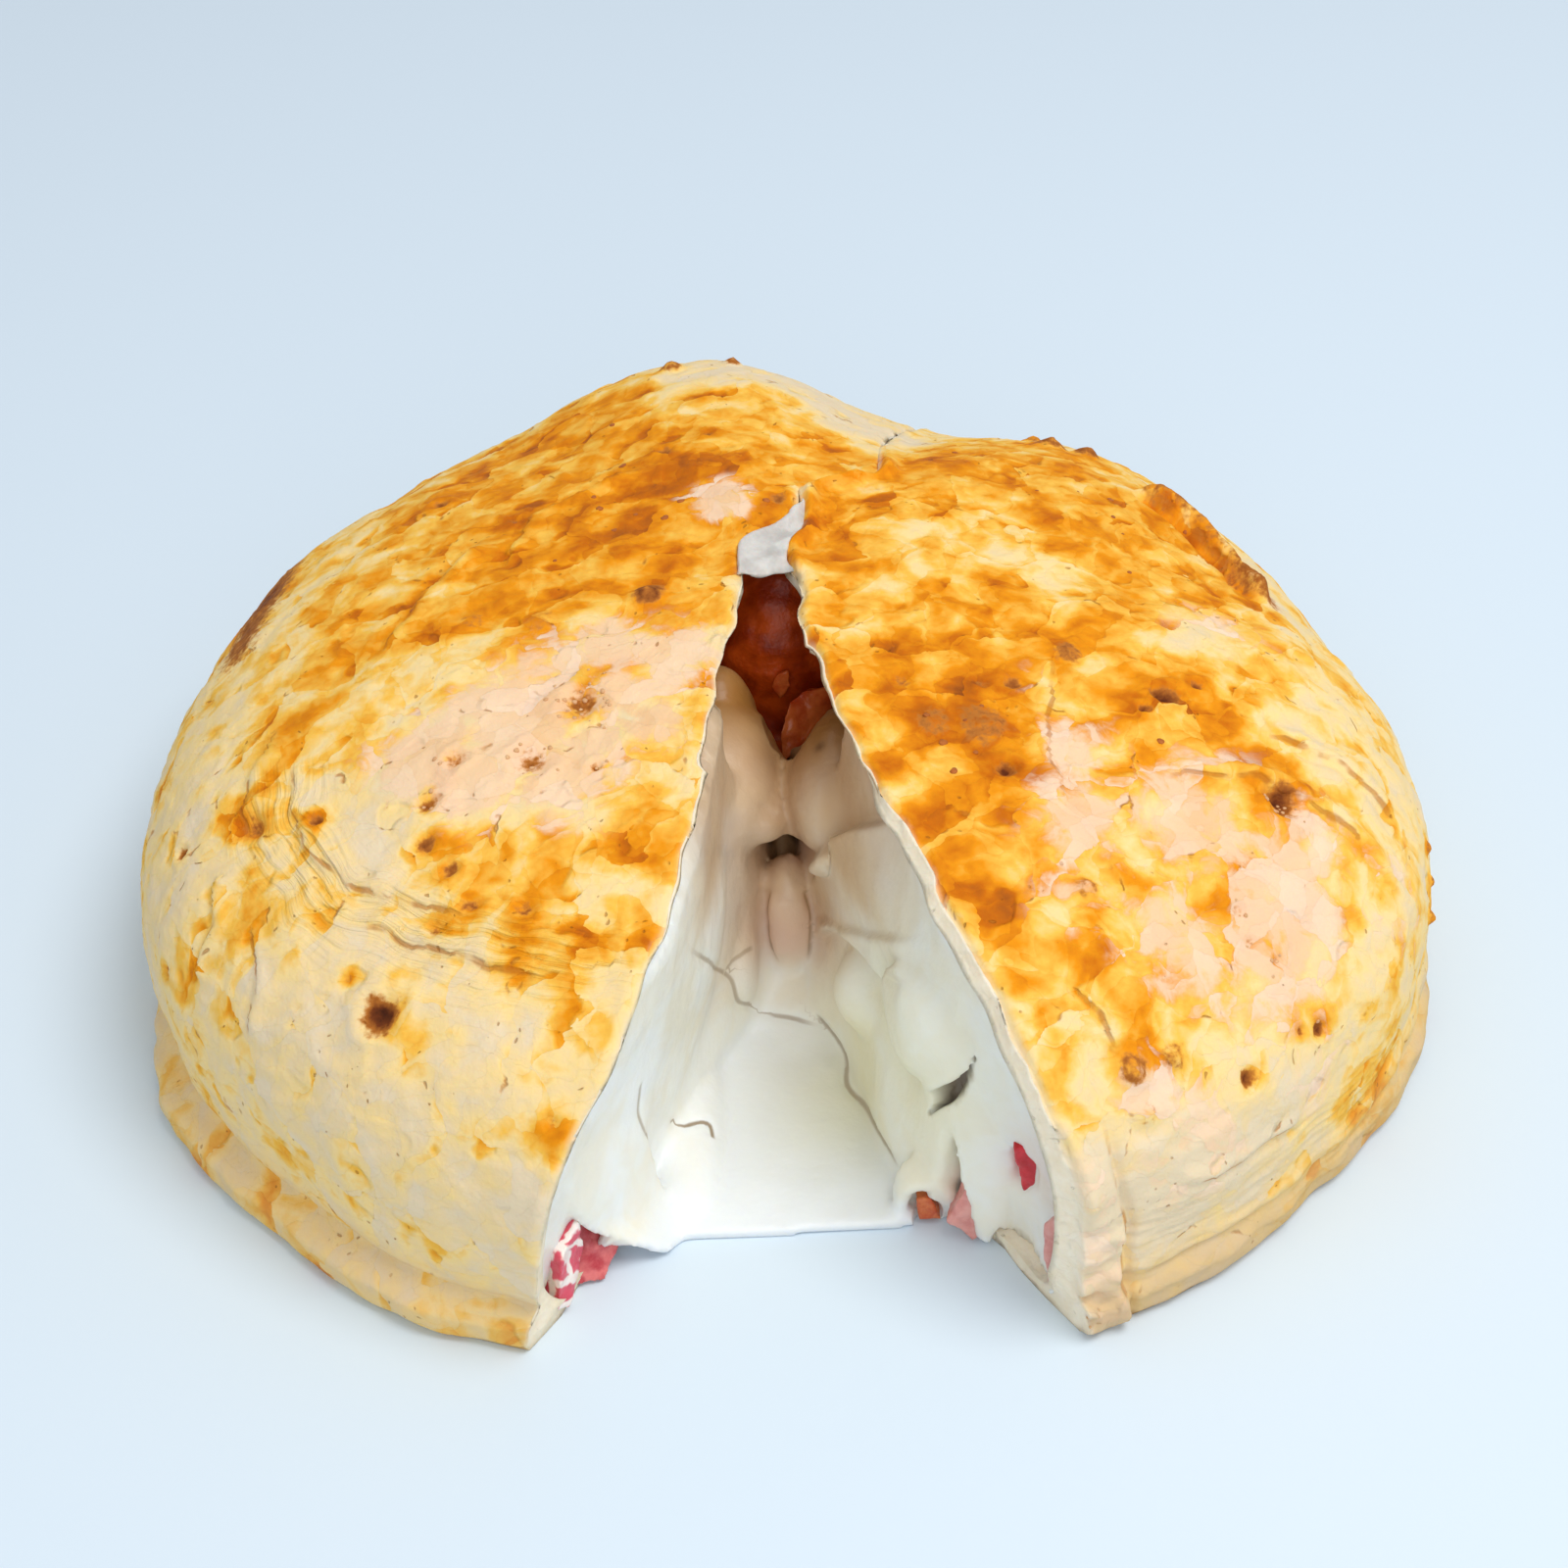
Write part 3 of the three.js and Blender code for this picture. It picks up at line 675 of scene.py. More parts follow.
FAR_OFF = 9.0  # where no line is near


class Lines:
    """The nearest of several fine lines: how far off it is, and how strongly it shows."""

    def __init__(self, count):
        self.side, self.reach = np.full(count, FAR_OFF), np.zeros(count)

    def draw(self, aside, strength, width):
        closer = np.abs(aside) < np.abs(self.side)
        self.side = np.where(closer, aside, self.side)
        self.reach = np.where(closer, strength * bell(aside, width), self.reach)


def from_spot(points, azimuth, down):
    return np.linalg.norm(points - spot(azimuth, down), axis=1)


def spots(points, table):
    """How strongly each row of a table reaches each point."""
    return [share * bell(from_spot(points, a, down), radius) for a, down, radius, share in table]


# %% where the oven toasted it
TOASTED = [  # azimuth, place, radius, strength
    (32, 0.50, 5, 0.45), (25, 0.515, 5, 0.45), (18, 0.525, 5, 0.45), (12, 0.535, 5, 0.4),
    (150, 0.28, 38, 0.37), (124, 0.46, 22, 0.35), (112, 0.46, 12, 0.30), (134, 0.54, 16, 0.30),
    (209, 0.78, 9, 0.25), (322, 0.22, 7, 0.45), (202, 0.22, 9, 0.30), (220, 0.16, 6, 0.30),
    (60, 0.46, 8, 0.45), (193, 0.12, 6, 0.25), (212, 0.08, 7, 0.25), (256, 0.34, 6, 0.35),
    (252, 0.51, 6, 0.30), (343, 0.38, 10, 0.20), (2, 0.54, 12, 0.25), (296, 0.77, 4, 0.30),
    (110, 0.20, 26, 0.38), (180, 0.35, 22, 0.25), (160, 0.76, 18, 0.40), (98, 0.37, 12, 0.6),
    (318, 0.22, 6, 0.25), (326, 0.17, 7, 0.3), (102, 0.04, 9, 0.25), (254, 0.18, 8, 0.40),
    (244, 0.30, 6, 0.25), (236, 0.46, 14, 0.22), (20, 0.30, 30, 0.20), (42, 0.36, 18, 0.35),
    (60, 0.28, 12, 0.55), (30, 0.38, 10, 0.25), (350, 0.17, 14, 0.22), (345, 0.24, 20, 0.15),
    (292, 0.12, 9, 0.28), (287, 0.25, 6, 0.25), (300, 0.27, 22, 0.25), (296, 0.48, 14, 0.20),
    (316, 0.56, 34, 0.22), (340, 0.54, 24, 0.28), (350, 0.44, 14, 0.20), (300, 0.72, 14, 0.18),
    (314, 0.74, 16, 0.20), (330, 0.90, 34, 0.06), (158, 0.35, 20, 0.20), (136, 0.30, 22, 0.22),
    (110, 0.28, 20, 0.20), (156, 0.15, 18, 0.26), (130, 0.12, 16, 0.22), (200, 0.12, 8, 0.14),
    (181, 0.36, 14, 0.16), (190, 0.50, 9, 0.16), (197, 0.58, 7, 0.16), (205, 0.63, 8, 0.16),
    (232, 0.43, 8, 0.10), (241, 0.45, 9, 0.14), (252, 0.46, 9, 0.12), (248, 0.34, 9, 0.24),
    (226, 0.47, 7, 0.22), (213, 0.71, 7, 0.24), (232, 0.69, 7, 0.14), (250, 0.60, 8, 0.14),
    (56, 0.06, 10, 0.22), (56, 0.25, 14, 0.16), (24, 0.27, 18, 0.24), (20, 0.38, 14, 0.24),
    (304, 0.16, 9, 0.28), (302, 0.25, 11, 0.34), (308, 0.30, 11, 0.30), (338, 0.28, 10, 0.22),
    (324, 0.34, 12, 0.20), (336, 0.42, 10, 0.20), (290, 0.37, 6, 0.16), (292, 0.45, 7, 0.24),
    (296, 0.54, 8, 0.22), (303, 0.66, 8, 0.30), (330, 0.56, 8, 0.20), (340, 0.75, 12, 0.10),
    (214, 1.60, 22, 0.14), (320, 1.70, 30, 0.12),
]
FLOURED = [  # azimuth, place, radius, strength
    (214, 0.27, 12, 1.0), (208, 0.16, 8, 0.75), (226, 0.12, 9, 0.9), (238, 0.20, 8, 0.9),
    (230, 0.30, 12, 0.85), (222, 0.37, 10, 0.85), (112, 0.12, 6, 0.9), (309, 0.41, 11, 0.75),
    (320, 0.50, 15, 0.85), (308, 0.60, 13, 0.8), (318, 0.68, 18, 0.8), (302, 0.50, 8, 0.6),
    (326, 0.62, 13, 0.7), (332, 0.80, 16, 0.4), (302, 0.90, 14, 0.5), (316, 0.90, 14, 0.4),
    (299, 0.78, 8, 0.6), (356, 0.44, 14, 0.3), (213, 0.38, 10, 0.95), (220, 0.28, 11, 1.0),
    (228, 0.20, 9, 0.95), (209, 0.30, 8, 0.8), (206, 0.22, 8, 0.7), (232, 0.26, 7, 0.8),
    (318, 0.33, 9, 0.6), (328, 0.25, 6, 0.4),
]
PALE = [  # azimuth, place, radius, strength
    (103, 0.42, 12, 0.25), (88, 0.50, 16, 0.5), (74, 0.40, 10, 0.5), (219, 0.46, 10, 0.22),
    (234, 0.59, 9, 0.20), (243, 0.62, 7, 0.15), (206, 0.66, 8, 0.15), (240, 0.34, 5, 0.20),
    (166, 0.36, 9, 0.15), (0, 0.24, 9, 0.25), (26, 0.19, 9, 0.15), (14, 0.25, 9, 0.15),
    (354, 0.37, 11, 0.18), (345, 0.47, 12, 0.18), (339, 0.56, 10, 0.15), (18, 0.58, 8, 0.30),
    (330, 0.66, 8, 0.15), (316, 0.97, 12, 0.15), (248, 1.00, 15, 0.15), (247, 0.62, 6, 0.12),
    (228, 0.84, 26, 0.12), (244, 0.86, 22, 0.08), (222, 0.72, 14, 0.10), (298, 0.96, 22, 0.25),
    (306, 1.10, 20, 0.12), (350, 0.60, 16, 0.15), (201, 0.85, 18, 0.1),
]
SCORCHED = [  # azimuth, place, radius, strength
    (171, 0.655, 6, 0.25), (167, 0.675, 8, 0.28), (163, 0.69, 9, 0.30), (158, 0.715, 7, 0.32),
    (155, 0.72, 9, 0.26), (150, 0.75, 8, 0.28), (146, 0.755, 6, 0.22), (34, 0.52, 5, 0.45),
    (29, 0.55, 5, 0.50), (24, 0.56, 5, 0.50), (18, 0.56, 5, 0.50), (13, 0.56, 5, 0.45),
]


# %% [markdown]
# The relief is pushed out along the normal in steps, and each step adds its part to the marks that
# the finish reads later: how toasted, burnt and floured a point is, and where lines run. The
# toasting also takes painted shade in the hollows of folds and wrinkles and painted light on their
# ridges, and the lines are painted shade in the creases. The flakes are drawn out along the
# wrinkles, which run round the loaf.

# %% ripples, flakes and wrinkles
SWELL_RIPPLES = ((30, 1.1), (11, 0.5), (5.5, 0.22))  # size and height
TOAST_RIPPLES = ((17, 0.12), (7, 0.10))
FLAKE_SIZES, FLAKE_SQUASH, FLAKE_HEIGHT = (12.0, 6.0), (1, 1, 1.25), 0.30
BASE_TOAST = dict(left=0.185, right=0.235)
WRINKLE_HEIGHT = dict(left=0.6, right=0.7)
LOW_TOAST = dict(left=0.09, right=0.03)
EDGE_SLANT = 0.9  # a cut runs aslant, so it is nearer than its distance along X


def skin_begun(crust):
    """The crust as it is worked: where its points lie, their push and their first marks."""
    c = SimpleNamespace(**vars(crust))
    c.azimuth, c.down = c.places.T
    c.outer = c.labels == SKIN
    c.left = c.side == "left"
    c.x, c.y, c.z = c.points.T
    c.edge = np.where(c.outer, np.abs(c.x - EDGES[c.side](c.y, c.z)) * EDGE_SLANT, 0.0)
    c.roof = 1 - smooth(c.down, 0.95, 1.15)
    c.round_way = np.radians(c.azimuth) * np.hypot(c.x, c.y)
    c.char, c.lines = np.zeros(len(c.points)), Lines(len(c.points))

    c.pulled = shaken(c.points, 3.0, 13, 20)
    big, big_across = flakes(c.pulled * FLAKE_SQUASH, FLAKE_SIZES[0], 41)
    small, small_across = flakes(c.pulled * FLAKE_SQUASH + 7, FLAKE_SIZES[1], 51)
    step = (big - 0.5) + 0.9 * big_across[:, 0] + 0.5 * (small - 0.5) + 0.5 * small_across[:, 1]
    c.push = ripples(c.points, SWELL_RIPPLES, 1)
    c.push += (0.35 + 0.65 * smooth(c.z, 30, 62)) * step * FLAKE_HEIGHT

    wrinkle = 1 - np.abs(ripple_on(c.round_way / 13, c.down * 17, 9))
    flank = span(c.down, 0.62, 0.95, 1.62, 1.9)
    c.push += flank * (wrinkle - 0.6) * WRINKLE_HEIGHT[c.side]
    lower = smooth(c.down, 0.55, 0.85) * (1 - 0.7 * smooth(c.down, 1.2, 1.8))
    c.toast = BASE_TOAST[c.side] + 0.11 * smooth(c.z, 34, 74) + ripples(c.points, TOAST_RIPPLES, 5)
    # painted shade in the wrinkles' grooves and painted light on their crests
    c.toast += 0.08 * flank * (0.6 - wrinkle) + LOW_TOAST[c.side] * lower
    return c


# %% folds, fibres, blisters and pits
LINE_WIDE = 2.2  # how far the marks of a fold's line reach
ALL_TOASTED = 0.55  # the most that the named places add
FLOUR_SHARE = dict(left=1, right=0.85)


def add_folds(c):
    moved = shaken(c.points, 1.3, 8, 25)
    uneven = 1 + 0.35 * ripple(c.points, 9, 13)
    for line, height, width in FOLDS:
        aside, along, _ = beside_places(moved, c.normals, line)
        fade = span(along, 0, 0.12, 0.86, 1)
        ridge = bell(aside - width * 0.45, width * 0.8)
        hollow = bell(aside + width * 0.4, width * 0.5)
        c.push += 1.3 * height * uneven * fade * (ridge - 0.75 * hollow)
        # painted shade in each fold's hollow and a painted highlight on its ridge
        c.toast += fade * (0.08 * hollow * height - 0.05 * ridge)
        # the fold's line is painted as shade in its crease
        c.lines.draw(aside, fade, LINE_WIDE)
    c.fibre_aside, along, length = beside_places(moved, c.normals, FIBRES)
    c.fibre_along = along * length
    c.fibres = span(along, 0, 0.15, 0.85, 1, bell(c.fibre_aside, FIBRES_WIDTH))


def add_blisters_and_pits(c):
    ragged = 1 + 0.3 * ripple(c.points, 4, 14)
    for azimuth, down, radius, height, burnt in BLISTERS:
        off = from_spot(c.points, azimuth, down) * ragged
        c.push += height * bell(off, radius * 0.8)
        c.push -= 0.2 * height * bell(off - 1.7 * radius, radius * 0.5)
        ring = 0.5 * bell(off - radius * 0.8, radius * 0.45)
        c.char += burnt * (ring + 0.4 * bell(off, radius * 0.7))
        c.toast += 0.2 * bell(off, radius * 1.7)
    ragged = 1 + 0.35 * ripple(c.points, 3.5, 15)
    for azimuth, down, radius, depth, burnt in PITS:
        off = from_spot(c.points, azimuth, down) * ragged
        brim = 0.4 * bell(off - 1.5 * radius, radius * 0.5)
        c.push += depth * (brim - bell(off, radius * 0.8))
        c.char += 0.85 * burnt * bell(off, radius * 0.9)
        c.toast += 0.2 * bell(off, radius * 1.9)


def add_baking(c):
    """The named places that the oven toasted, scorched or left pale, and those with flour."""
    c.toast += ALL_TOASTED * (1 - np.prod([1 - s for s in spots(c.pulled, TOASTED)], axis=0))
    c.toast -= sum(spots(c.pulled, PALE))
    c.char += sum(spots(c.points, SCORCHED))
    c.flour = np.max(spots(c.pulled, FLOURED), axis=0) * FLOUR_SHARE[c.side]


# %% foot, strip and rim
def shape_foot(c):
    """The foot is pinched, browner towards the tray, and fuller at the right front."""
    uneven = 0.9 * ripple_on(c.round_way / 9, c.down * 3, 17)
    c.push += bell(c.down - 1.82, 0.14) * uneven
    c.toast += 0.04 * smooth(c.down, 1.55, 1.95)
    c.burn = smooth(c.down, 1.96, 2.05)
    if not c.left:
        c.push += span(c.azimuth, -88, -70, 20, 45, 2.2) * bell(c.down - 1.60, 0.12)
        c.burn += 0.7 * bell(c.down - 1.97, 0.035)


def add_strip(c):
    """At the right front the dough is stretched into a pale ruffled strip beside the cut."""
    wide = 9 + 2.5 * ripple(c.points, 14, 28)
    strip = span(c.down, 0.80, 0.92, 1.93, 2.0) * (1 - smooth(c.azimuth, -62, -50))
    inside = strip * (1 - smooth(c.edge, wide - 1.5, wide))
    c.push += inside * (1.0 + 1.2 * ripple_on(c.edge / 5, c.down * 9, 29))
    c.push -= 1.2 * strip * bell(c.edge - wide - 0.8, 1.0)
    c.toast -= 0.35 * inside
    c.flour = np.maximum(c.flour, 0.3 * inside)
    # a painted shade line along the groove at the strip's edge
    c.lines.draw(c.edge - wide, strip, LINE_WIDE)


def roll_rim(c):
    """Near a cut the skin is drawn thin and rolls over a little, more so behind the crown."""
    uneven = 1 + 0.8 * ripple(c.points, 6, 18)
    rolled = 0.35 if c.left else 0.6 + span(c.y, -6, 6, 40, 60, 1.6)
    shut = span(c.y, 24, 34, 62, 76)
    c.push += c.roof * bell(c.edge - 1.8, 1.6) * uneven * rolled
    c.push -= c.roof * 0.9 * bell(c.edge, 0.8) * (1 - 0.9 * shut)
    rim = bell(c.edge, 1.6) * c.roof
    c.toast -= 0.08 * rim
    c.flour = np.maximum(c.flour, 0.15 * rim)


# %% the skin as a whole
WALL_LUMPS = ((5, 0.5), (2.1, 0.2))
TOAST_KNEE, TOAST_SLOWS = 0.5, 0.55  # past the knee the toasting grows more slowly
CRUMBS_WIDE, CRUMBS_THICK = 1.3, 0.6


def skin(crust):
    """Gives a crust piece its relief, and returns its points with the marks for its finish."""
    c = skin_begun(crust)
    add_folds(c)
    add_blisters_and_pits(c)
    add_baking(c)
    shape_foot(c)
    if not c.left:
        add_strip(c)
    roll_rim(c)

    # The base stays flat, and the walls of the cuts get torn crumb
    moved = c.points + c.normals * (c.push * (c.down < 2) * c.outer)[:, None]
    under = 0.25 * np.abs(ripple(c.points, 14, 30))
    moved[:, 2] = np.maximum(np.where(c.outer & (c.down >= 2), under, moved[:, 2]), 0.0)
    lumps = (-1.0 if c.left else 1.0) * (0.3 - ripples(c.points, WALL_LUMPS, 60))
    wall = (c.labels == SEAM_WALL) | (c.labels == CUT_WALL)
    moved[:, 0] += np.where(wall, lumps, 0.0)

    slowed = TOAST_KNEE + TOAST_SLOWS * (c.toast - TOAST_KNEE)
    toast = clamp01(np.where(c.toast > TOAST_KNEE, slowed, c.toast))
    torn = sum(bell(from_spot(c.points, a, d), CRUMBS_WIDE * r) for a, d, r, _, _ in PITS)
    return moved, dict(
        toast=toast,
        char=clamp01(c.char),
        flour=clamp01(c.flour),
        crumb=np.where(c.outer, 0.6 * bell(c.edge, 0.5), 1.0),
        burn=c.burn,
        # painted shade on the lower side and foot, stronger on the right piece
        dull=c.outer * (0.45 if c.left else 1.0) * smooth(c.down, 1.35, 1.8),
        fold_side=c.lines.side,
        fold_reach=clamp01(c.lines.reach) * c.outer,
        fibre_aside=c.fibre_aside,
        fibre_along=c.fibre_along,
        fibres=c.fibres * c.outer,
        crumbs=clamp01(torn * CRUMBS_THICK) * c.outer * smooth(c.flour, 0.15, 0.5),
        scorched=clamp01((toast - 0.5) * 3) * c.outer * (1 - clamp01(c.flour)),
    )


# %% [markdown]
# The crust's finish goes from creamy dough through gold and orange to brown with the toasting, and
# its toasting carries painted shade in the folds, wrinkles and flakes' hollows. Then it takes the
# flour, the burnt spots, painted shade along the creases and on the foot, and the pale torn crumb
# on top.
# The edges of the patches are broken up by fine noise, as flakes of skin brown at their borders
# first.

# %% crust finish
TOAST_COLOURS = [
    (0.02, "ead5b2"), (0.14, "efd4a2"), (0.27, "f8d894"), (0.40, "f8c050"),
    (0.54, "ec9514"), (0.70, "ca6c0a"), (0.84, "a85816"), (0.98, "6a3216"),
]
FLOUR_COLOURS = [(0.2, "e6b684"), (0.45, "f1caa2"), (0.8, "f9e0c8")]
BURNT_COLOURS = [(0.2, "d38a3c"), (0.42, "a86428"), (0.65, "70381a"), (0.95, "331812")]
UNDER_COLOURS = [(0.3, "d8a464"), (0.5, "b87a40"), (0.7, "84502a")]


def crust_patterns(f):
    """The patterns that the colours and the relief share."""
    drawn = f.warped(11, 5)
    ragged = f.warped(2.4, 0.8, at=drawn)
    wide, wide_across = f.petals(12, ragged, (0.5, -0.6, 0.6))
    small, small_across = f.petals(5, ragged, (-0.6, 0.5, 0.6))
    petal = f.sum("MULTIPLY_ADD", wide_across, 0.7, f.sum("MULTIPLY_ADD", wide, 0.7, -0.35))
    small = f.sum("MULTIPLY_ADD", small, 0.4, f.sum("SUBTRACT", petal, 0.2))
    petal = f.sum("MULTIPLY_ADD", small_across, 0.3, small)
    # painted shade: the low side of some flakes, as if under the next flake, is toasted darker
    lifted = f.level(f.noise(7, 1), 0.50, 0.60)
    hollow = f.sum("MULTIPLY", f.level(wide_across, 0.05, 0.45), lifted)

    place = {"X": f.mark("fibre_aside"), "Y": f.sum("MULTIPLY", f.mark("fibre_along"), 0.07)}
    place = f.node("ShaderNodeCombineXYZ", place).outputs[0]
    inputs = {"Vector": place, "Scale": 0.65, "Detail": 3.0}
    fibre = f.node("ShaderNodeTexNoise", inputs).outputs["Fac"]
    fibre = f.sum("MULTIPLY", f.sum("MULTIPLY_ADD", fibre, 5.0, -2.5), f.mark("fibres"))

    border = f.cells(12, ragged, "DISTANCE_TO_EDGE")
    torn = f.level(border, 0.0, 0.035, 1, 0)
    torn = f.sum("MULTIPLY", torn, f.level(f.noise(6, 2), 0.63, 0.70))
    # painted shade along the fold creases and the strip's groove
    crease_shade = f.line("fold_side", "fold_reach", 0.7)
    crease_shade = f.sum("MULTIPLY", crease_shade, f.level(f.noise(7, 2), 0.4, 0.55))
    pore = f.level(f.cells(2.6, ragged), 0.08, 0.16, 1, 0)
    pore = f.sum("MULTIPLY", pore, f.level(f.noise(7, 1), 0.55, 0.62))
    return SimpleNamespace(
        drawn=drawn, petal=petal, hollow=hollow, fibre=fibre, pore=pore,
        line=f.sum("MAXIMUM", torn, crease_shade), fine=f.noise(1.4, 4),
    )


def toasted(f, p):
    """How toasted each point is, with painted shade on the low side of some flakes, and the colour
    of dough, flour, lines and pores.
    """
    blotch = f.sum("SUBTRACT", f.noise(8, 2.5, at=p.drawn), 0.5)
    toast = f.sum("MULTIPLY_ADD", p.petal, 0.14, f.mark("toast"))
    # the painted shade on the flakes' low sides darkens the toasting
    toast = f.sum("MULTIPLY_ADD", p.hollow, 0.14, f.sum("MULTIPLY_ADD", p.fibre, 0.10, toast))
    toast = f.sum("MULTIPLY_ADD", blotch, 0.74, toast)
    toast = f.sum("MULTIPLY_ADD", f.sum("SUBTRACT", p.fine, 0.5), 0.12, toast)
    colour = f.ramp(toast, TOAST_COLOURS)

    ragged = f.sum("SUBTRACT", f.noise(4, 4, at=p.drawn), 0.5)
    ragged = f.sum("MULTIPLY_ADD", p.petal, 0.45, ragged)
    flour = f.level(f.sum("ADD", f.mark("flour"), ragged), 0.25, 0.55)
    flour = f.sum("MULTIPLY", flour, f.level(f.mark("flour"), 0.04, 0.25))
    dusted = f.ramp(f.sum("MULTIPLY_ADD", p.petal, 0.30, 0.5), FLOUR_COLOURS)
    colour = f.blend(f.sum("MULTIPLY", flour, 0.88), colour, dusted)
    # brown torn lines between flakes, and painted shade along the fold creases and the strip's
    # groove
    colour = f.blend(f.sum("MULTIPLY", p.line, 0.7), colour, paint("bc7022"))
    return toast, f.blend(f.sum("MULTIPLY", p.pore, 0.6), colour, paint("a8661f"))


def crust_finish():
    f = Finish("baked_crust")
    p = crust_patterns(f)
    toast, colour = toasted(f, p)
    char = f.sum("ADD", f.mark("char"), f.sum("MULTIPLY_ADD", p.fine, 0.6, -0.3))
    colour = f.blend(f.level(char, 0.16, 0.40), colour, f.ramp(char, BURNT_COLOURS))
    colour = f.blend(f.mark("burn"), colour, f.ramp(f.noise(9, 5), UNDER_COLOURS))
    # painted shade: the lower side and foot darkened to tan
    colour = f.blend(f.sum("MULTIPLY", f.mark("dull"), 0.6), colour, paint("c6a478"))
    crumb = f.blend(f.noise(2.5, 3), paint("fbf2e0"), paint("f0dcb8"))
    colour = f.blend(f.mark("crumb"), colour, crumb)

    f.set(Base_Color=colour, Roughness=f.level(toast, 0.3, 0.8, 0.85, 0.7), IOR=1.4)
    f.set(Specular_IOR_Level=0.12)
    f.soft(0.12, (1.0, 0.5, 0.25), 2)
    sunk = f.sum("MULTIPLY_ADD", p.fibre, 0.5, f.sum("MULTIPLY", p.hollow, 0.5))
    height = f.sum("MULTIPLY_ADD", p.fine, 0.3, f.sum("MULTIPLY", p.petal, 0.9))
    height = f.sum("MULTIPLY_ADD", p.pore, -0.3, f.sum("SUBTRACT", height, sunk))
    f.set(Normal=f.bump(f.sum("MULTIPLY_ADD", p.line, -0.35, height), 0.7))
    return f.material


CRUST = crust_finish()
print(CRUST.name, "is mixed from", len(CRUST.node_tree.nodes), "nodes")

# %% crust pieces
INNER_COLUMNS = 44
CRUST_GRIDS = dict(left=(384, (140, 48, 24)), right=(352, (150, 50, 24)))  # columns and rows
for side, (columns, rows) in CRUST_GRIDS.items():
    rings = crust_rings(side, columns, INNER_COLUMNS, *rows)
    skin_points, marks = skin(rings)
    piece = make_mesh(f"crust_{side}_baked", skin_points, rings.faces, marks)
    hand_over(piece, CRUST, f"crust_{side}")

# %% [markdown]
# Torn crumbs and scorched flakes sit on the real crust in hundreds, far too many to place by hand.
# One tree of Geometry Nodes strews a lump over the crust as thickly as a mark on it says, leaning
# with the skin and turned and sized at random. Each kind becomes one plain mesh.

# %% how grains are strewn
STREWING_INPUTS = dict(
    Surface="Geometry", Where="String", Spacing="Float", Thickest="Float", Smallest="Float",
    Largest="Float", Flatness="Float", Seed="Int", Finish="Material",
)
FULL_TURN = 6.28


def strewing_tree():
    """Instances of a lumpy grain over a surface, as thick as the mark named in Where says."""
    tree = bpy.data.node_groups.new("strewing", "GeometryNodeTree")
    for name, kind in STREWING_INPUTS.items():
        tree.interface.new_socket(name, in_out="INPUT", socket_type="NodeSocket" + kind)
    tree.interface.new_socket("Grains", in_out="OUTPUT", socket_type="NodeSocketGeometry")

    def add(kind, links=None, **settings):
        node = tree.nodes.new(kind)
        for key, value in settings.items():
            setattr(node, key, value)
        for key, value in (links or {}).items():
            if isinstance(value, bpy.types.NodeSocket):
                tree.links.new(value, node.inputs[key])
            else:
                node.inputs[key].default_value = value
        return node

    given = add("NodeGroupInput").outputs

    def chosen_at_random(**ends):
        inputs = {key: given[name] for key, name in ends.items()} | {"Seed": given["Seed"]}
        made = add("FunctionNodeRandomValue", inputs, data_type="FLOAT")
        return next(o for o in made.outputs if o.enabled)

    def product(a, b):
        return add("ShaderNodeMath", {0: a, 1: b}, operation="MULTIPLY").outputs[0]

    where = {"Name": given["Where"]}
    thick = add("GeometryNodeInputNamedAttribute", where, data_type="FLOAT").outputs[0]
    spread = {"Mesh": given["Surface"], "Distance Min": given["Spacing"]}
    spread |= {"Density Max": given["Thickest"], "Density Factor": thick, "Seed": given["Seed"]}
    points = add("GeometryNodeDistributePointsOnFaces", spread, distribute_method="POISSON")
    ball = add("GeometryNodeMeshIcoSphere", {"Radius": 1.0, "Subdivisions": 2}).outputs["Mesh"]
    lumps = add("ShaderNodeTexNoise", {"Scale": 1.1, "Detail": 1.0}).outputs["Color"]
    lumps = add("ShaderNodeVectorMath", {0: lumps, 1: (0.5,) * 3}, operation="SUBTRACT").outputs[0]
    grain = add("GeometryNodeSetPosition", {"Geometry": ball, "Offset": lumps}).outputs[0]
    wide = chosen_at_random(Min="Smallest", Max="Largest")
    scale = {"X": wide, "Y": wide, "Z": product(wide, given["Flatness"])}
    placed = {"Points": points.outputs["Points"], "Rotation": points.outputs["Rotation"]}
    placed |= {"Instance": grain, "Scale": add("ShaderNodeCombineXYZ", scale).outputs[0]}
    grains = add("GeometryNodeInstanceOnPoints", placed).outputs[0]
    turn = add("ShaderNodeCombineXYZ", {"Z": product(chosen_at_random(), FULL_TURN)}).outputs[0]
    turned = {"Instances": grains, "Rotation": turn}
    grains = add("GeometryNodeRotateInstances", turned).outputs[0]
    real = add("GeometryNodeRealizeInstances", {"Geometry": grains}).outputs[0]
    finished = {"Geometry": real, "Material": given["Finish"]}
    add("NodeGroupOutput", {"Grains": add("GeometryNodeSetMaterial", finished).outputs[0]})
    return tree


STREWING = strewing_tree()
print(STREWING.name, "has", len(STREWING.nodes), "nodes")

# %% crumbs and scorched flakes
CRUSTS = [bpy.data.objects[name] for name in ("crust_left_baked", "crust_right_baked")]


def strewn(name, **values):
    """The grains strewn over both crusts, as one plain mesh."""
    copies = []
    for source in CRUSTS:
        copy = bpy.data.objects.new(source.name + "_bed", source.data.copy())
        bpy.context.scene.collection.objects.link(copy)
        copies.append(copy)
    piece = joined(name, copies)
    piece.data.materials.clear()
    strewing = piece.modifiers.new("strewing", "NODES")
    strewing.node_group = STREWING
    for item in STREWING.interface.items_tree:
        if item.in_out == "INPUT" and item.name in values:
            strewing[item.identifier] = values[item.name]
    baked(piece)
    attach(piece, "root")
    print(name, len(piece.data.polygons), "faces")
    return piece


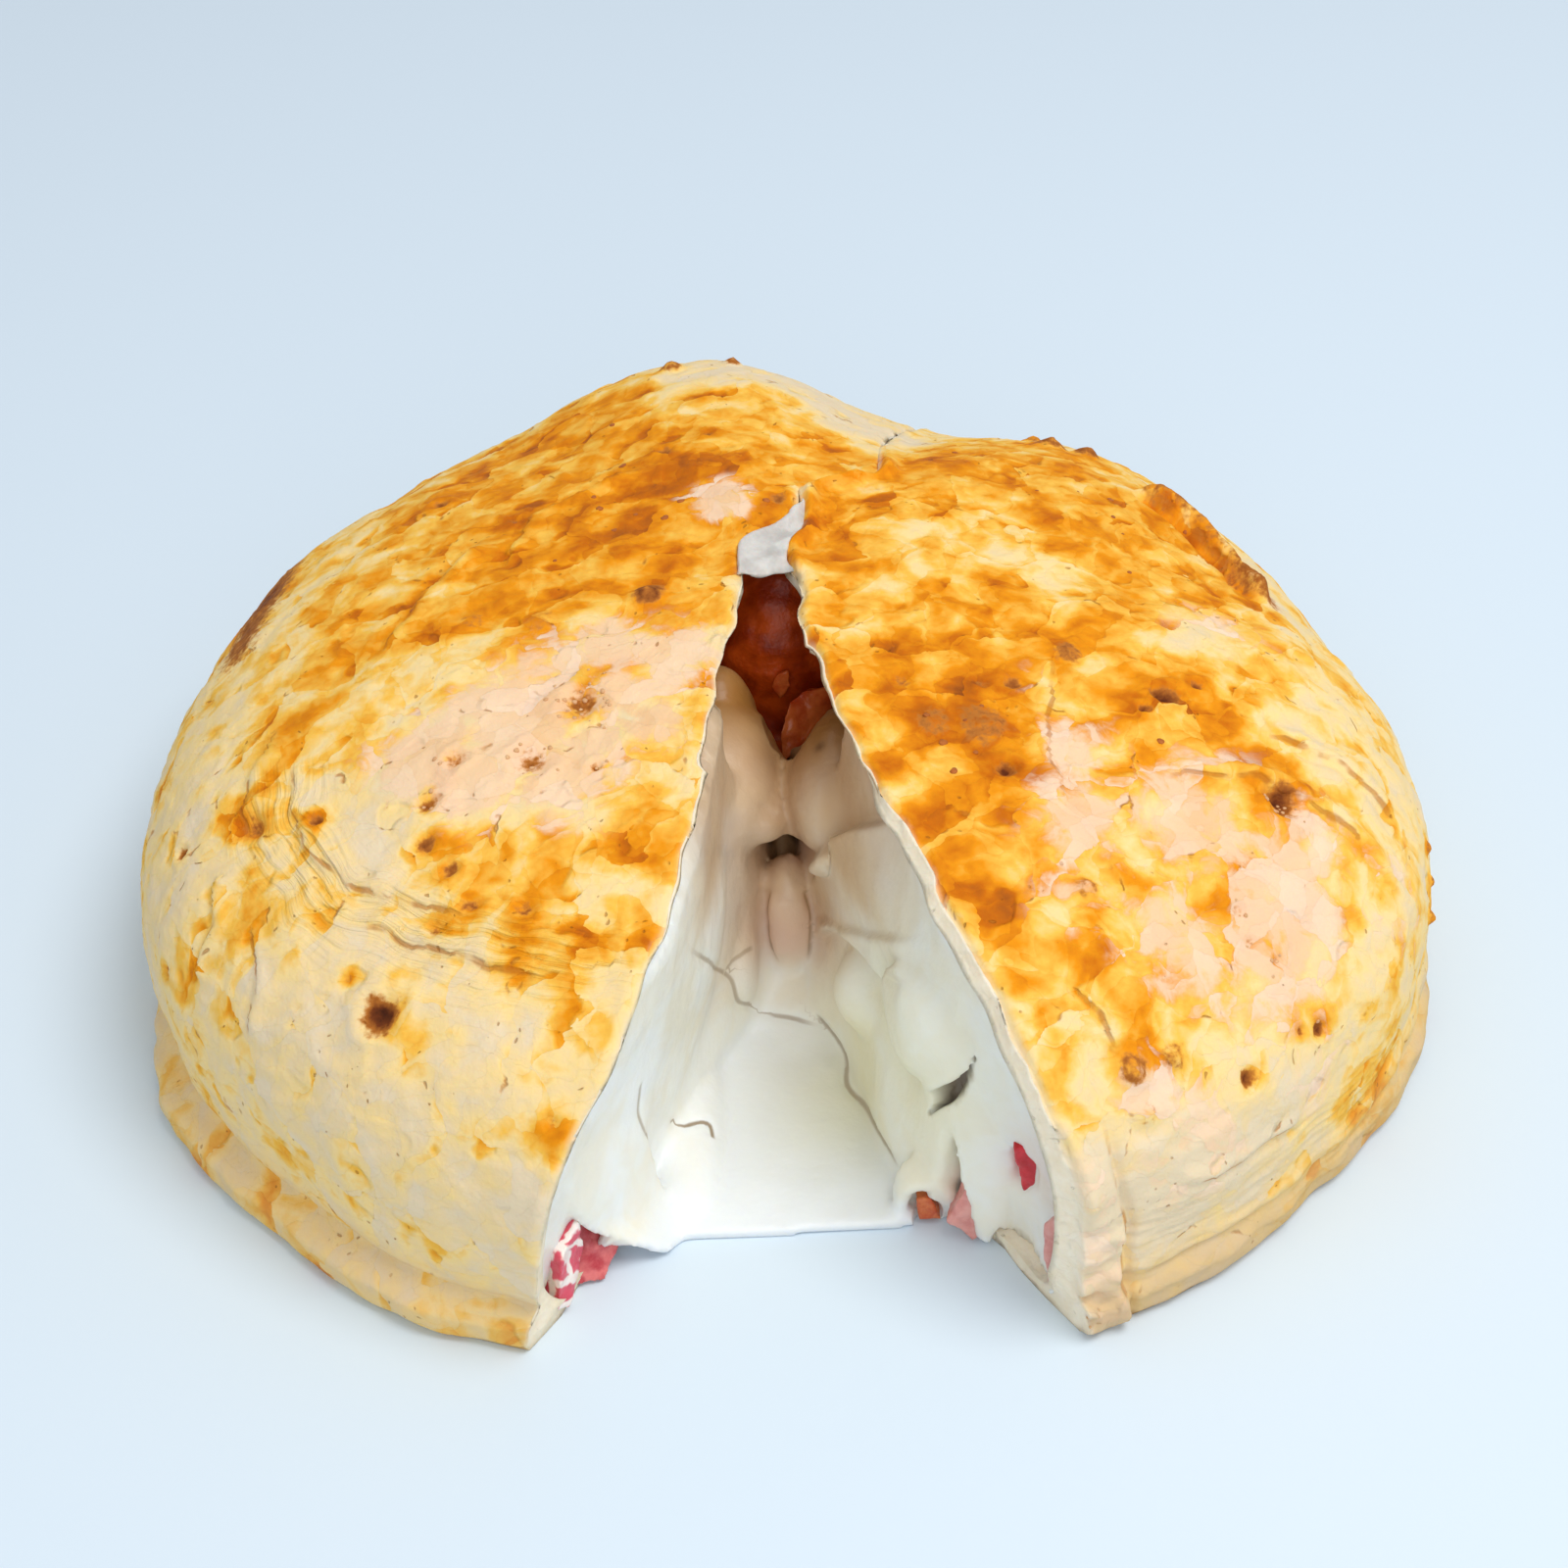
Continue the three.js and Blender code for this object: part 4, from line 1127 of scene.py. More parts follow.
def grain_finish(name, light, dark):
    f = Finish(name)
    f.set(Base_Color=f.blend(f.noise(2, 2), paint(dark), paint(light)), Roughness=0.7)
    f.soft(0.1, (1.0, 0.5, 0.25), 1)
    return f.material


strewn(
    "torn_crumbs", Where="crumbs", Spacing=0.9 * MM, Thickest=1e6, Seed=3,
    Smallest=0.2 * MM, Largest=0.55 * MM, Flatness=0.6,
    Finish=grain_finish("torn_crumb", "ecc494", "c08450"),
)
strewn(
    "scorched_flakes", Where="scorched", Spacing=4 * MM, Thickest=6e4, Seed=8,
    Smallest=0.3 * MM, Largest=0.9 * MM, Flatness=0.3,
    Finish=grain_finish("scorched_flake", "c8701c", "8a4214"),
)

# %% [markdown]
# ## Melted cheese
# The real filling is grated cheese that melted, sank and stretched when the wedge was pulled
# away: soft lobes hang on both sides, a tongue runs down the middle and a thin sheet has run out
# over the floor. The frame's cheese is joined with rounded lobes and thin hanging flaps, and the
# whole is remade as one even skin, which blends them as melting does. Metaballs would blend too,
# but they swell where they meet, and the flaps would lose their thin edges.

# %% cheese lumps
LOBES = [  # centre about the crown, and radii
    ((-12.5, -18, 47.5), (12.5, 17, 14)),
    ((-13, -6, 49), (8, 9, 15)),
    ((11.5, -23, 48), (12, 17, 14.5)),
    ((-5, -24, 45.5), (6.5, 9, 6)),
    ((2, -24, 45.5), (3.5, 7, 7)),
    ((-11, -32, 16), (5, 10, 12)),
    ((-20.5, -64, 0.5), (7.5, 27, 5.2)),
    ((-0.8, -25, 18.5), (5.5, 7, 15)),
    ((18.5, -50, 22), (11, 10, 11)),
    ((29, -74, 38), (12.5, 15, 14)),
]
BULGES = [  # soft swellings: centre about the crown, radius and height
    ((-20, -55, 42), 16, 2.5),
    ((14, -38, 48), 12, 2.5),
    ((20, -56, 50), 12, 2.0),
    ((30, -76, 44), 12, 2.0),
    ((28, -74, 14), 10, 2.0),
    ((5, -34, 4), 8, 1.5),
]
FLAP_THICKNESS = 2.0
FLAPS = {  # thin hanging sheets: lines of points from the top down
    "flap_right": [
        [(26, -83, 38), (31, -85, 42), (37, -87, 44)],
        [(27, -87, 26), (33, -89, 28), (38, -90, 30)],
        [(28.5, -90, 14), (33, -92, 14), (37.5, -92, 17)],
        [(31, -92, 5), (33, -93, 4), (35, -92.5, 7)],
        [(32.2, -92, 0.8), (32.8, -92.5, 0.6), (33.5, -92.2, 1.2)],
    ],
    "flap_far_right": [
        [(39, -92, 44), (43, -98, 44), (46, -104, 44)],
        [(40, -93, 28), (44, -99, 28), (47, -106, 28)],
        [(41, -95, 14), (44.5, -101, 14), (46.5, -107, 12)],
        [(42, -98, 4), (44.5, -104, 3), (45.5, -109, 2)],
    ],
    "rim_of_bit": [
        [(18, -83, 5), (20, -83, 10), (24, -83, 11), (28.5, -84, 5)],
        [(18.3, -86, 3), (19.8, -86, 9), (24, -86, 9.8), (28, -86.5, 3)],
        [(18.4, -88.6, 1), (19.6, -88.8, 8), (24, -88.8, 8.6), (27.6, -88.6, 1.4)],
    ],
    "curtain_left": [
        [(-30, -84, 48), (-34, -94, 46), (-37.5, -104, 42)],
        [(-28, -84, 30), (-33, -94, 32), (-38.5, -105, 32)],
        [(-26, -82, 14), (-31, -93, 17), (-39, -105, 23)],
        [(-24, -82, 4), (-29, -92.5, 7), (-37, -101, 14)],
        [(-19, -88, 0.8), (-23, -95, 1.5), (-32, -98, 7)],
    ],
}


def refined(grid, steps):
    """More lines between the grid's lines, straight from one to the next."""
    at = np.linspace(0, len(grid) - 1, steps * (len(grid) - 1) + 1)
    low = np.minimum(at.astype(int), len(grid) - 2)
    return mix(grid[low], grid[low + 1], (at - low)[:, None, None])


def slab(name, lines, thickness, steps=10):
    """A closed sheet through lines of points, with an even thickness behind it."""
    grid = refined(np.array(lines, float), steps)
    grid = refined(grid.swapaxes(0, 1), steps).swapaxes(0, 1)
    for _ in range(6):
        for side in (grid, grid.swapaxes(0, 1)):
            side[1:-1] += 0.5 * ((side[:-2] + side[2:]) / 2 - side[1:-1])
    facing = np.cross(np.gradient(grid, axis=1), np.gradient(grid, axis=0))
    facing /= np.linalg.norm(facing, axis=-1, keepdims=True)
    r, c = grid.shape[:2]
    points = np.concatenate([grid.reshape(-1, 3), (grid - facing * thickness).reshape(-1, 3)])
    at = np.arange(r * c).reshape(r, c)
    back = at + r * c
    loop = np.concatenate([at[0, :-1], at[:-1, -1], at[-1, :0:-1], at[:0:-1, 0]])
    after = np.roll(loop, -1)
    quads = np.concatenate([
        np.stack(corners, -1).reshape(-1, 4)
        for corners in (
            (at[:-1, :-1], at[1:, :-1], at[1:, 1:], at[:-1, 1:]),
            (back[:-1, :-1], back[:-1, 1:], back[1:, 1:], back[1:, :-1]),
            (loop, after, after + r * c, loop + r * c),
        )
    ])
    faces = np.concatenate([quads[:, [0, 1, 2]], quads[:, [0, 2, 3]]])
    return make_mesh(name, points, outward_faces(points, faces))


def ellipsoid(name, centre, radii):
    bpy.ops.mesh.primitive_uv_sphere_add(segments=32, ring_count=20, radius=1)
    ball = bpy.context.object
    ball.name = name
    for change in (Matrix.Diagonal((*radii, 1)), Matrix.Translation(centre),
                   Matrix.Translation(CROWN), Matrix.Scale(MM, 4)):
        ball.data.transform(change)
    return ball


def copy_of(node, name):
    """A free copy of a frame node, in the frame's place."""
    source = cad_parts[node]
    piece = bpy.data.objects.new(name, source.data.copy())
    piece.data.transform(source.matrix_world)
    piece.data.materials.clear()
    bpy.context.scene.collection.objects.link(piece)
    return piece


def remade(piece, voxel, rounds=6, hollows=()):
    """One even skin over everything in the piece, with hollows scooped out of it, smoothed."""
    skin_over = piece.modifiers.new("skin", "REMESH")
    skin_over.mode = "VOXEL"
    skin_over.voxel_size = voxel * MM
    for hollow in hollows:
        scoop = piece.modifiers.new("scoop", "BOOLEAN")
        scoop.operation = "DIFFERENCE"
        scoop.solver = "MANIFOLD"
        scoop.object = hollow
    soften = piece.modifiers.new("soften", "SMOOTH")
    soften.factor = 0.5
    soften.iterations = rounds
    return baked(piece)


# %% [markdown]
# Where one fold of cheese lies over another there is a crease, and where it stretched too far a
# crack. Both are lines laid on the skin, because noise can't follow the way the cheese ran, and
# each is painted with a thin line of shade. Then the cheese is pressed against the crust, as it is
# in the loaf, and stained where it touched the sauce. Shade is painted deep in the wedge, high on
# its walls under the crust, in its holes and in the slit.

# %% creases, cracks, stains and painted shade
BOWLS = [  # hollows scooped out of the cheese: centre about the crown, and radii
    ((2, -10, 57), (6.5, 12, 10)),
    ((22.4, -89.5, 2.2), (2.9, 4.5, 4.6)),
]
CREASES = [  # lines where the side on their left lies over the other: how high, how strong its painted shade line
    ([(17, -62, 70), (12, -47, 58), (6, -34, 43), (3, -28, 29)], 4.5, 0.3),
    ([(22, -76, 56), (15, -60, 43), (8, -42, 30), (3, -28, 22)], 1.6, 0.1),
    ([(16, -63, 38), (18, -70, 43), (21, -77, 46)], 1.6, 0.2),
    ([(20, -74, 47), (17, -67, 40), (17, -66, 33), (19, -72, 27), (24, -82, 31)], 4.4, 0.6),
    ([(5, -18, 50), (5, -22, 46), (4.5, -25, 41)], 2.0, 0.5),
    ([(-4.5, -30, 30), (-4.6, -30, 25), (-4.2, -31, 19), (-3.2, -32, 12)], 1.6, 0.6),
    ([(2.8, -31, 12), (3.2, -30, 19), (3.2, -30, 25), (3, -30, 30)], 1.6, 0.5),
    ([(3, -30, 17), (8, -40, 29), (14, -55, 34), (16, -63, 34)], 2.0, 0.15),
]
CRACKS = [  # lines over the cheese: how deep, how strong its painted shade line
    ([(-18, -74, 54), (-14, -52, 30), (-12, -43, 21), (-11, -41, 12), (-4, -37, 5), (5, -40, 4)],
     0.5, 0.6),
    ([(-27, -85, 34), (-28, -84, 22), (-25, -77, 3)], 0.4, 0.6),
    ([(-23, -69, 9), (-17, -65, 3), (-16, -69, 3)], 0.5, 0.9),
    ([(4, -37, 5), (8, -42, 4), (9, -54, 3), (14, -66, 3), (18, -80, 5)], 0.7, 0.65),
    ([(-12, -44, 22), (-9, -40, 23), (-5, -37, 22)], 0.3, 0.5),
]
# the slit is sunk into the cheese, and its gap is also painted dark as shade
SLIT = [(30.5, -88, 40), (28, -86, 33), (27, -85, 28.5), (23, -84, 23)]  # a gap at the flap
SLIT_WIDTH, SLIT_DEPTH = 2.0, 3.5
STAINS_AND_SHADE = {  # the marks of the cheese: centre about the crown, radius and strength of each spot
    "pink": [((2.5, -20, 36), 7, 1), ((-0.8, -31, 20), 8, 1), ((44, -101, 26), 10, 0.6)],
    "stained": [
        ((-9, -8, 58), 11, 1), ((8, -22, 63), 13, 1),
        ((-2, -10, 46), 10, 0.8), ((-1, -28, 46), 8, 0.5),
    ],
    "whey": [((14, -58, 10), 19, 1), ((22, -72, 30), 22, 1)],
    # painted shade in two small holes
    "dark": [((-1, -8, 43), 3, 0.8), ((6, -27, 61), 1.1, 0.7)],
}
PAINTED_HOLE_SHADE = np.array([(-1, -12, 34), (5, 9, 6)])  # a hole's painted shade: centre and radii


def near_point(points, centre, radius):
    return bell(np.linalg.norm(points - np.array(centre), axis=1), radius)


def laid_on(points, path, steps=6):
    """The line's points, with more between them, each moved to the nearest point of the cheese."""
    knots = np.array(path, float)
    share = np.arange(steps)[:, None] / steps
    fine = [mix(a, b, share) for a, b in zip(knots[:-1], knots[1:])] + [knots[-1:]]
    on = np.array([points[np.argmin(((points - k) ** 2).sum(1))] for k in np.concatenate(fine)])
    for _ in range(2):
        on[1:-1] = (on[:-2] + 2 * on[1:-1] + on[2:]) / 4
    return on


def beside_path(points, normals, path):
    """Distance from a line laid on the cheese, with a minus sign on one side, and the way along."""
    knots = laid_on(points, path)
    return beside(points, normals, knots, np.arange(len(knots)) / (len(knots) - 1))


# %% where the cheese meets the crust
PRESS_REACH, PRESS_GAP = 7, 0.1  # how far the crust draws the cheese, and the gap that it leaves
CORNER_PUSH, CORNER_REACH = 0.9, 1.6


def pressed_to_crust(points, normals):
    """Cheese that faces the crust is pushed up against it."""
    moved = points.copy()
    shown = bpy.context.evaluated_depsgraph_get()
    trees = [BVHTree.FromObject(crust, shown) for crust in CRUSTS]
    for k, (point, normal) in enumerate(zip((points + CROWN) * MM, normals)):
        best = None
        for tree in trees:
            hit = tree.find_nearest(Vector(point), PRESS_REACH * MM)
            if hit[0] is not None and (best is None or hit[3] < best[3]):
                best = hit
        if best is None:
            continue
        way = np.array(best[0]) / MM - CROWN - points[k]
        length = np.linalg.norm(way)
        facing = float(way @ normal) / max(length, 1e-6)
        if facing > 0.3:
            kept = max(0.0, 1 - PRESS_GAP / max(length, PRESS_GAP))
            moved[k] += way * min(1.0, (facing - 0.3) / 0.4) * kept
        # Where the cut runs past, the cheese fills the corner under the crust's edge
        out = CORNER_PUSH if points[k, 0] < 0 else -CORNER_PUSH
        moved[k, 0] += out * bell(length, CORNER_REACH) * float(points[k, 1] < -4)
    return moved


# %% cheese piece
CHEESE_VOXEL, CHEESE_ROUNDS, CHEESE_FACES = 0.9, 5, 170000
CHEESE_RIPPLES = ((15, 0.6), (6, 0.15))
CRACK_WIDE = 2.5  # how far the marks of a crease or crack reach


def cheese_body():
    """The frame's cheese with its lobes and flaps as one skin."""
    lumps = [ellipsoid(f"lobe_{k}", *lobe) for k, lobe in enumerate(LOBES)]
    lumps += [slab(name, lines, FLAP_THICKNESS) for name, lines in FLAPS.items()]
    body = joined("cheese_melted", [copy_of("cheese", "cheese_body")] + lumps)
    hollows = [ellipsoid(f"bowl_{k}", *bowl) for k, bowl in enumerate(BOWLS)]
    remade(body, CHEESE_VOXEL, CHEESE_ROUNDS, hollows)
    for hollow in hollows:
        bpy.data.objects.remove(hollow)
    body.data.materials.clear()
    return body


def lined(points, normals):
    """The push of swellings, creases, cracks and the slit, with the painted shade lines of the
    creases and cracks, and the slit's gap.
    """
    x, y, z = points.T
    push = ripples(points, CHEESE_RIPPLES, 70)
    drawn = np.stack([x / 6, y / 6, z / 20], -1)
    push += 0.06 * (1 - 2 * np.abs(ripple(drawn, 1.0, 72))) * smooth(z, 6, 16)
    for centre, radius, height in BULGES:
        push += height * near_point(points, centre, radius)
    lines = Lines(len(points))
    for path, height, shade_strength in CREASES:
        aside, along = beside_path(points, normals, path)
        fade = span(along, 0, 0.2, 0.8, 1)
        push += height * fade * (smooth(aside, -0.9, 0.9) - 0.5) * np.exp(-np.abs(aside) / 5)
        lines.draw(aside, shade_strength * fade, CRACK_WIDE)
    for path, depth, shade_strength in CRACKS:
        aside, along = beside_path(points, normals, path)
        fade = span(along, 0, 0.1, 0.9, 1)
        push -= depth * bell(aside, 1.0) * fade
        lines.draw(aside, shade_strength * fade, CRACK_WIDE)
    aside, along = beside_path(points, normals, SLIT)
    wide = 0.1 + SLIT_WIDTH * np.sin(np.pi * clamp01(along)) ** 1.5
    gape = 1 - smooth(np.abs(aside) / wide, 0.5, 1.1)
    push += span(along, 0, 0.3, 0.7, 1, 1.2 * bell(aside + 3, 1.5)) - SLIT_DEPTH * gape
    return push, lines, gape


def stained(points, gape):
    """The marks for the cheese's colours: its stains, painted shade deep in the wedge, high on its
    walls, in its holes and in the slit, and the spread floor.
    """
    x, y, z = points.T
    # painted shade: tan high on the walls under the crust's edges and further back and higher in
    # the wedge
    right_wall = 0.8 * smooth(y, -80, -45) * smooth(z, 34, 50) * smooth(x, 0, 8)
    left_wall = 0.75 * smooth(y, -78, -55) * smooth(z, 42, 58) * (1 - smooth(x, -8, 0))
    marks = {
        mark: np.max([share * near_point(points, at, radius) for at, radius, share in rows], axis=0)
        for mark, rows in STAINS_AND_SHADE.items()
    }
    hole = np.linalg.norm((points - PAINTED_HOLE_SHADE[0]) / PAINTED_HOLE_SHADE[1], axis=1)
    # the dark mark is painted shade: in small holes, in a hole's place and in the slit's gap
    marks["dark"] = np.max([marks["dark"], 1 - smooth(hole, 0.8, 1.15), 0.85 * gape], axis=0)
    deep = smooth(y, -66, -14) * smooth(z, 8, 26)
    marks["deep"] = np.max([deep, right_wall, left_wall], axis=0)
    marks["spread"] = (1 - smooth(z, 3, 8)) * (1 - smooth(x - 0.35 * (-y - 36), 0, 8))
    return marks


def thinned(body, hiding):
    """Fewer faces where the crust hides the cheese."""
    hidden = body.vertex_groups.new(name="hidden")
    levels = np.round(hiding, 1)
    for level in np.unique(levels):
        hidden.add(np.where(levels == level)[0].tolist(), float(level), "REPLACE")
    thin = body.modifiers.new("thin", "DECIMATE")
    faces = sum(len(p.vertices) - 2 for p in body.data.polygons)
    thin.ratio = min(1.0, CHEESE_FACES / max(1, faces))
    thin.vertex_group = "hidden"
    thin.use_collapse_triangulate = True
    print("cheese before thinning:", faces, "triangles, ratio", round(thin.ratio, 2))
    baked(body)
    body.vertex_groups.clear()


def cheese_piece():
    body = cheese_body()
    points, normals = points_of(body)
    points = pressed_to_crust(points, normals)
    x, y, z = points.T
    open_side = np.minimum(x - left_edge(y, z), right_edge(y, z) - x)
    seen = smooth(open_side, -6, -1) * smooth(-y, -30, -20)
    push, lines, gape = lined(points, normals)
    points = points + normals * np.where(z < 0.6, 0, push * seen)[:, None]
    points[:, 2] = np.maximum(points[:, 2], 0.0)
    move_points(body, points)
    marks = stained(points, gape) | {"crack_side": lines.side, "crack_reach": lines.reach}
    for mark, values in marks.items():
        set_mark(body, mark, values)
    thinned(body, 1 - seen)
    return body


def cheese_finish():
    f = Finish("melted_cheese")
    cloud = f.level(f.noise(16, 3, at=f.warped(14, 6)), 0.35, 0.65)
    fine = f.noise(2.2, 3)
    colour = f.blend(cloud, paint("f4f6f3"), paint("f1ecdc"))
    # the tan is painted shade
    shade_tan = f.blend(f.noise(11, 2), paint("bc8850"), paint("d6b482"))
    tints = (
        ("deep", 0.95, shade_tan), ("spread", 1, paint("eef2f4")), ("whey", 0.7, paint("eae4b8")),
        ("pink", 0.7, paint("d8ae9a")), ("stained", 0.85, paint("a46a1e")),
    )
    for mark, share, tint in tints:
        colour = f.blend(f.sum("MULTIPLY", f.mark(mark), share), colour, tint)
    # painted shade: a thin brown-grey line along each crease and crack
    shade_line = f.sum("MULTIPLY", f.line("crack_side", "crack_reach", 0.7), 0.9)
    colour = f.blend(shade_line, colour, paint("8a6a3a"))
    # painted shade: the holes and the slit's gap
    colour = f.blend(f.mark("dark"), colour, paint("4a2a18"))
    f.set(Base_Color=colour, Roughness=f.level(fine, 0.3, 0.7, 0.30, 0.45), IOR=1.45)
    f.soft(0.3, (1.0, 0.85, 0.6), 3)
    f.set(Normal=f.bump(f.sum("MULTIPLY_ADD", fine, 0.6, f.noise(5, 2)), 0.25))
    return f.material


hand_over(cheese_piece(), cheese_finish(), "cheese")

# %% [markdown]
# ## Tomato, web and morsels
# Behind the tip the filling is dark red-brown, sauce that has cooked down with chunks of tomato.
# A torn web of cheese still bridges the tip; its grey is painted shade. Bits of salami, ham and
# pepper show where the filling was cut. The sauce is the frame's own piece with an even, rippled
# skin, and the web a thin sheet. Each bit is one flat face carried through its thickness, because a
# knife leaves flat faces, and only then are its edges softened.

# %% wet finishes
def wet_finish(name, light, dark, size, roughness, bump=0.25):
    f = Finish(name)
    cloud = f.noise(size, 4, at=f.warped(size, size * 0.3))
    colour = f.blend(f.level(cloud, 0.32, 0.68), paint(dark), paint(light))
    f.set(Base_Color=colour, Roughness=roughness, IOR=1.42)
    f.soft(0.25, (1.0, 0.4, 0.25), 2)
    f.set(Normal=f.bump(f.noise(1.4, 3), bump))
    return f.material


def salami_finish():
    f = Finish("salami_fat_net")
    net = f.cells(6.5, f.warped(3, 1.5), "DISTANCE_TO_EDGE")
    lean = f.blend(f.noise(1.5, 3), paint("c92f48"), paint("ea6a7c"))
    colour = f.blend(f.level(net, 0.07, 0.15), paint("f7e9e2"), lean)
    f.set(Base_Color=colour, Roughness=0.35, IOR=1.42)
    f.soft(0.25, (1.0, 0.4, 0.3), 2)
    f.set(Normal=f.bump(f.noise(1.2, 3), 0.25))
    return f.material


TOMATO = wet_finish("tomato_sauce", "dc5a10", "982a02", 8, 0.4, 0.3)
CHUNK = wet_finish("tomato_chunk", "e87a3a", "c84a1c", 5, 0.25)
PEPPER = wet_finish("red_pepper", "e2343c", "b81824", 5, 0.2, 0.15)
HAM = wet_finish("ham", "e8a79c", "cf7f78", 4, 0.35)
# the web's grey is painted shade
SHADED_WEB = wet_finish("cheese_web", "dcd8d2", "bfb9b3", 6, 0.4)
SALAMI = salami_finish()
SALAMI_LEAN = wet_finish("salami_lean", "e07a78", "b93440", 3.5, 0.35)
ORANGE_BIT = wet_finish("orange_pepper", "e08a50", "c2502a", 3, 0.3)

# %% tomato sauce
SAUCE_FRONT = ((-1, 20, 46), (15, 14, 26))  # its steep front below the web: centre and radii
SAUCE_RIPPLES, SAUCE_VOXEL = ((9, 1.0), (4, 0.6)), 0.9


def rippled(piece, layers, salt):
    """Pushes a piece's surface out and in by ripples, and keeps it above the floor."""
    points, normals = points_of(piece)
    points = points + normals * ripples(points, layers, salt)[:, None]
    points[:, 2] = np.maximum(points[:, 2], 0.0)
    move_points(piece, points)
    return piece


sauce = [copy_of("tomato_filling", "tomato_sauce"), ellipsoid("sauce_front", *SAUCE_FRONT)]
sauce = rippled(remade(joined("tomato_sauce", sauce), SAUCE_VOXEL, 4), SAUCE_RIPPLES, 80)
hand_over(sauce, TOMATO, "tomato_filling")

# %% torn web
WEB_FRONT, WEB_BACK, RIM_END = 1.6, 19, 38  # places along Y from the crown
WEB_THICKNESS, WEB_SAG, WEB_DROOP = 1.0, 1.4, 0.9
WEB_ROWS, WEB_COLUMNS, WEB_VOXEL = 40, 7, 0.4


def skin_height(x, y):
    """Height of the crust's outer side over a place near the crown."""
    along = 2 / math.pi * np.arcsin(np.minimum(1, np.hypot(x, y) / RIM) ** (FULLNESS / 2))
    return on_dome(np.degrees(np.arctan2(y, x)), along, OUTSIDE)[1]


def torn_web():
    """The web spans the tip, laps over both crusts and runs on as a curled rim along the seam."""
    rows = []
    for y in np.linspace(WEB_FRONT, RIM_END, WEB_ROWS):
        behind = float(smooth(np.array(y), WEB_BACK - 4, WEB_BACK + 2))
        taper = float(1 - 0.8 * smooth(np.array(y), RIM_END - 16, RIM_END))
        ruffle = 0.7 * math.sin(0.9 * y) + 0.5 * math.sin(0.37 * y + 1)
        low = float(left_edge(y, TOP)) - mix(0.5, 2.2 * taper + ruffle * 0.6, behind)
        wider = 2.0 * float(bell(np.array(y - 36), 9))
        high = float(right_edge(y, TOP)) + mix(0.8, 1.6 * taper + ruffle * 0.4 + wider, behind)
        aside = 2.2 * float(bell(np.array(y - 26), 9))
        across = np.linspace(0, 1, WEB_COLUMNS)
        x = mix(low, high, across) + aside
        z = skin_height(x, np.full_like(x, y)) + WEB_THICKNESS
        hollow = 4 * across * (1 - across)
        z -= (1 - behind) * WEB_SAG * hollow + WEB_DROOP * hollow * bell(y - WEB_FRONT, 1.6)
        z += behind * taper * (1.5 * (1 - across) ** 2 - 0.3)
        scallop = 1.3 * hollow * bell(y - WEB_FRONT, 1.5)
        rows.append(np.stack([x, y + scallop, z], -1))
    web = slab("tip_web_torn", rows, WEB_THICKNESS, steps=3)
    remade(web, WEB_VOXEL, 3)
    points, normals = points_of(web)
    push = 0.3 * ripple(points, 5, 90) + 0.5 * ripple(points * (1, 0.25, 1), 3.5, 91)
    move_points(web, points + normals * push[:, None])
    return web


hand_over(torn_web(), SHADED_WEB, "tip_web")

# %% cut bits
BIT_RIPPLES, BIT_VOXEL = ((4, 0.45), (1.8, 0.2)), 0.35
CUT_BITS = [  # frame node, slot, finish, corners of one face about the crown, the way through it
    ("tomato_chunk_front", "tomato_chunk", CHUNK,
     [(-1.3, -7, 42), (-0.9, -4, 48), (0.9, -1, 52.3), (3.8, 1, 53.5), (8.5, 2, 53), (9.3, 1, 49.2),
      (5.8, -2, 47.5), (2.5, -5, 43.9)], (1, 3.5, -2.2)),
    ("tomato_chunk_back", "tomato_chunk", CHUNK,
     [(-1.3, 5, 54.5), (1, 5, 55.5), (1.4, 4.6, 51.8), (-0.8, 4.4, 49), (-2.4, 4.8, 51.8)],
     (0, 4, -2)),
    ("salami_left_tall", "salami", SALAMI,
     [(-38.5, -102, 17), (-37.5, -101, 9), (-40.5, -107, 1), (-42.5, -108.5, 2), (-41, -108, 14)],
     (-3, 4, 1)),
    ("salami_left_cube", "salami", SALAMI_LEAN,
     [(-39, -94.5, 13.5), (-31, -92.5, 7), (-34.5, -100, 0.6), (-39.8, -102, 0.8)], (1, 5, 1)),
    ("pepper_strip", "pepper", PEPPER,
     [(36.4, -97, 26), (38, -97.5, 27), (41, -98, 23), (41.5, -97, 12), (39, -96, 13),
      (37.5, -96, 19)], (0.5, 4, 1)),
    ("ham_triangle", "ham", HAM,
     [(29, -92.5, 13), (32, -94, 2), (30, -94, 0.6), (25.5, -93, 5)], (1, 4.5, 0)),
    ("pepper_bit", "pepper", ORANGE_BIT,
     [(20.5, -88.6, 6), (23, -88.8, 6.2), (25, -89, 1), (20.6, -88.9, 1)], (0, 3.5, 0)),
    ("ham_strip", "ham", HAM,
     [(40.8, -106, 17), (43.4, -108.5, 21), (44, -109.4, 12), (43.4, -109.8, 3),
      (41.8, -107.4, 6)], (3, 2.5, 0)),
]


def cut_bit(node, outline, way):
    """A bit with flat cut faces: one face carried through its thickness, with softened edges."""
    front = np.array(outline, float)
    n = len(front)
    points = np.concatenate([front, front + np.array(way, float)])
    faces = [(0, k, k + 1) for k in range(1, n - 1)]
    faces += [(n, n + k + 1, n + k) for k in range(1, n - 1)]
    for k in range(n):
        after = (k + 1) % n
        faces += [(k, n + after, after), (k, n + k, n + after)]
    piece = make_mesh(node + "_cut", points, outward_faces(points, np.array(faces)))
    return rippled(remade(piece, BIT_VOXEL, 4), BIT_RIPPLES, 81)


for node, slot, finish, outline, way in CUT_BITS:
    hand_over(cut_bit(node, outline, way), finish, node)

# %% [markdown]
# ## Floor, light and camera
# A pale plain floor, a wide soft lamp at the right, a weaker one in front and pale light all
# round, as in a bright kitchen by a window. The camera looks down into the wedge.

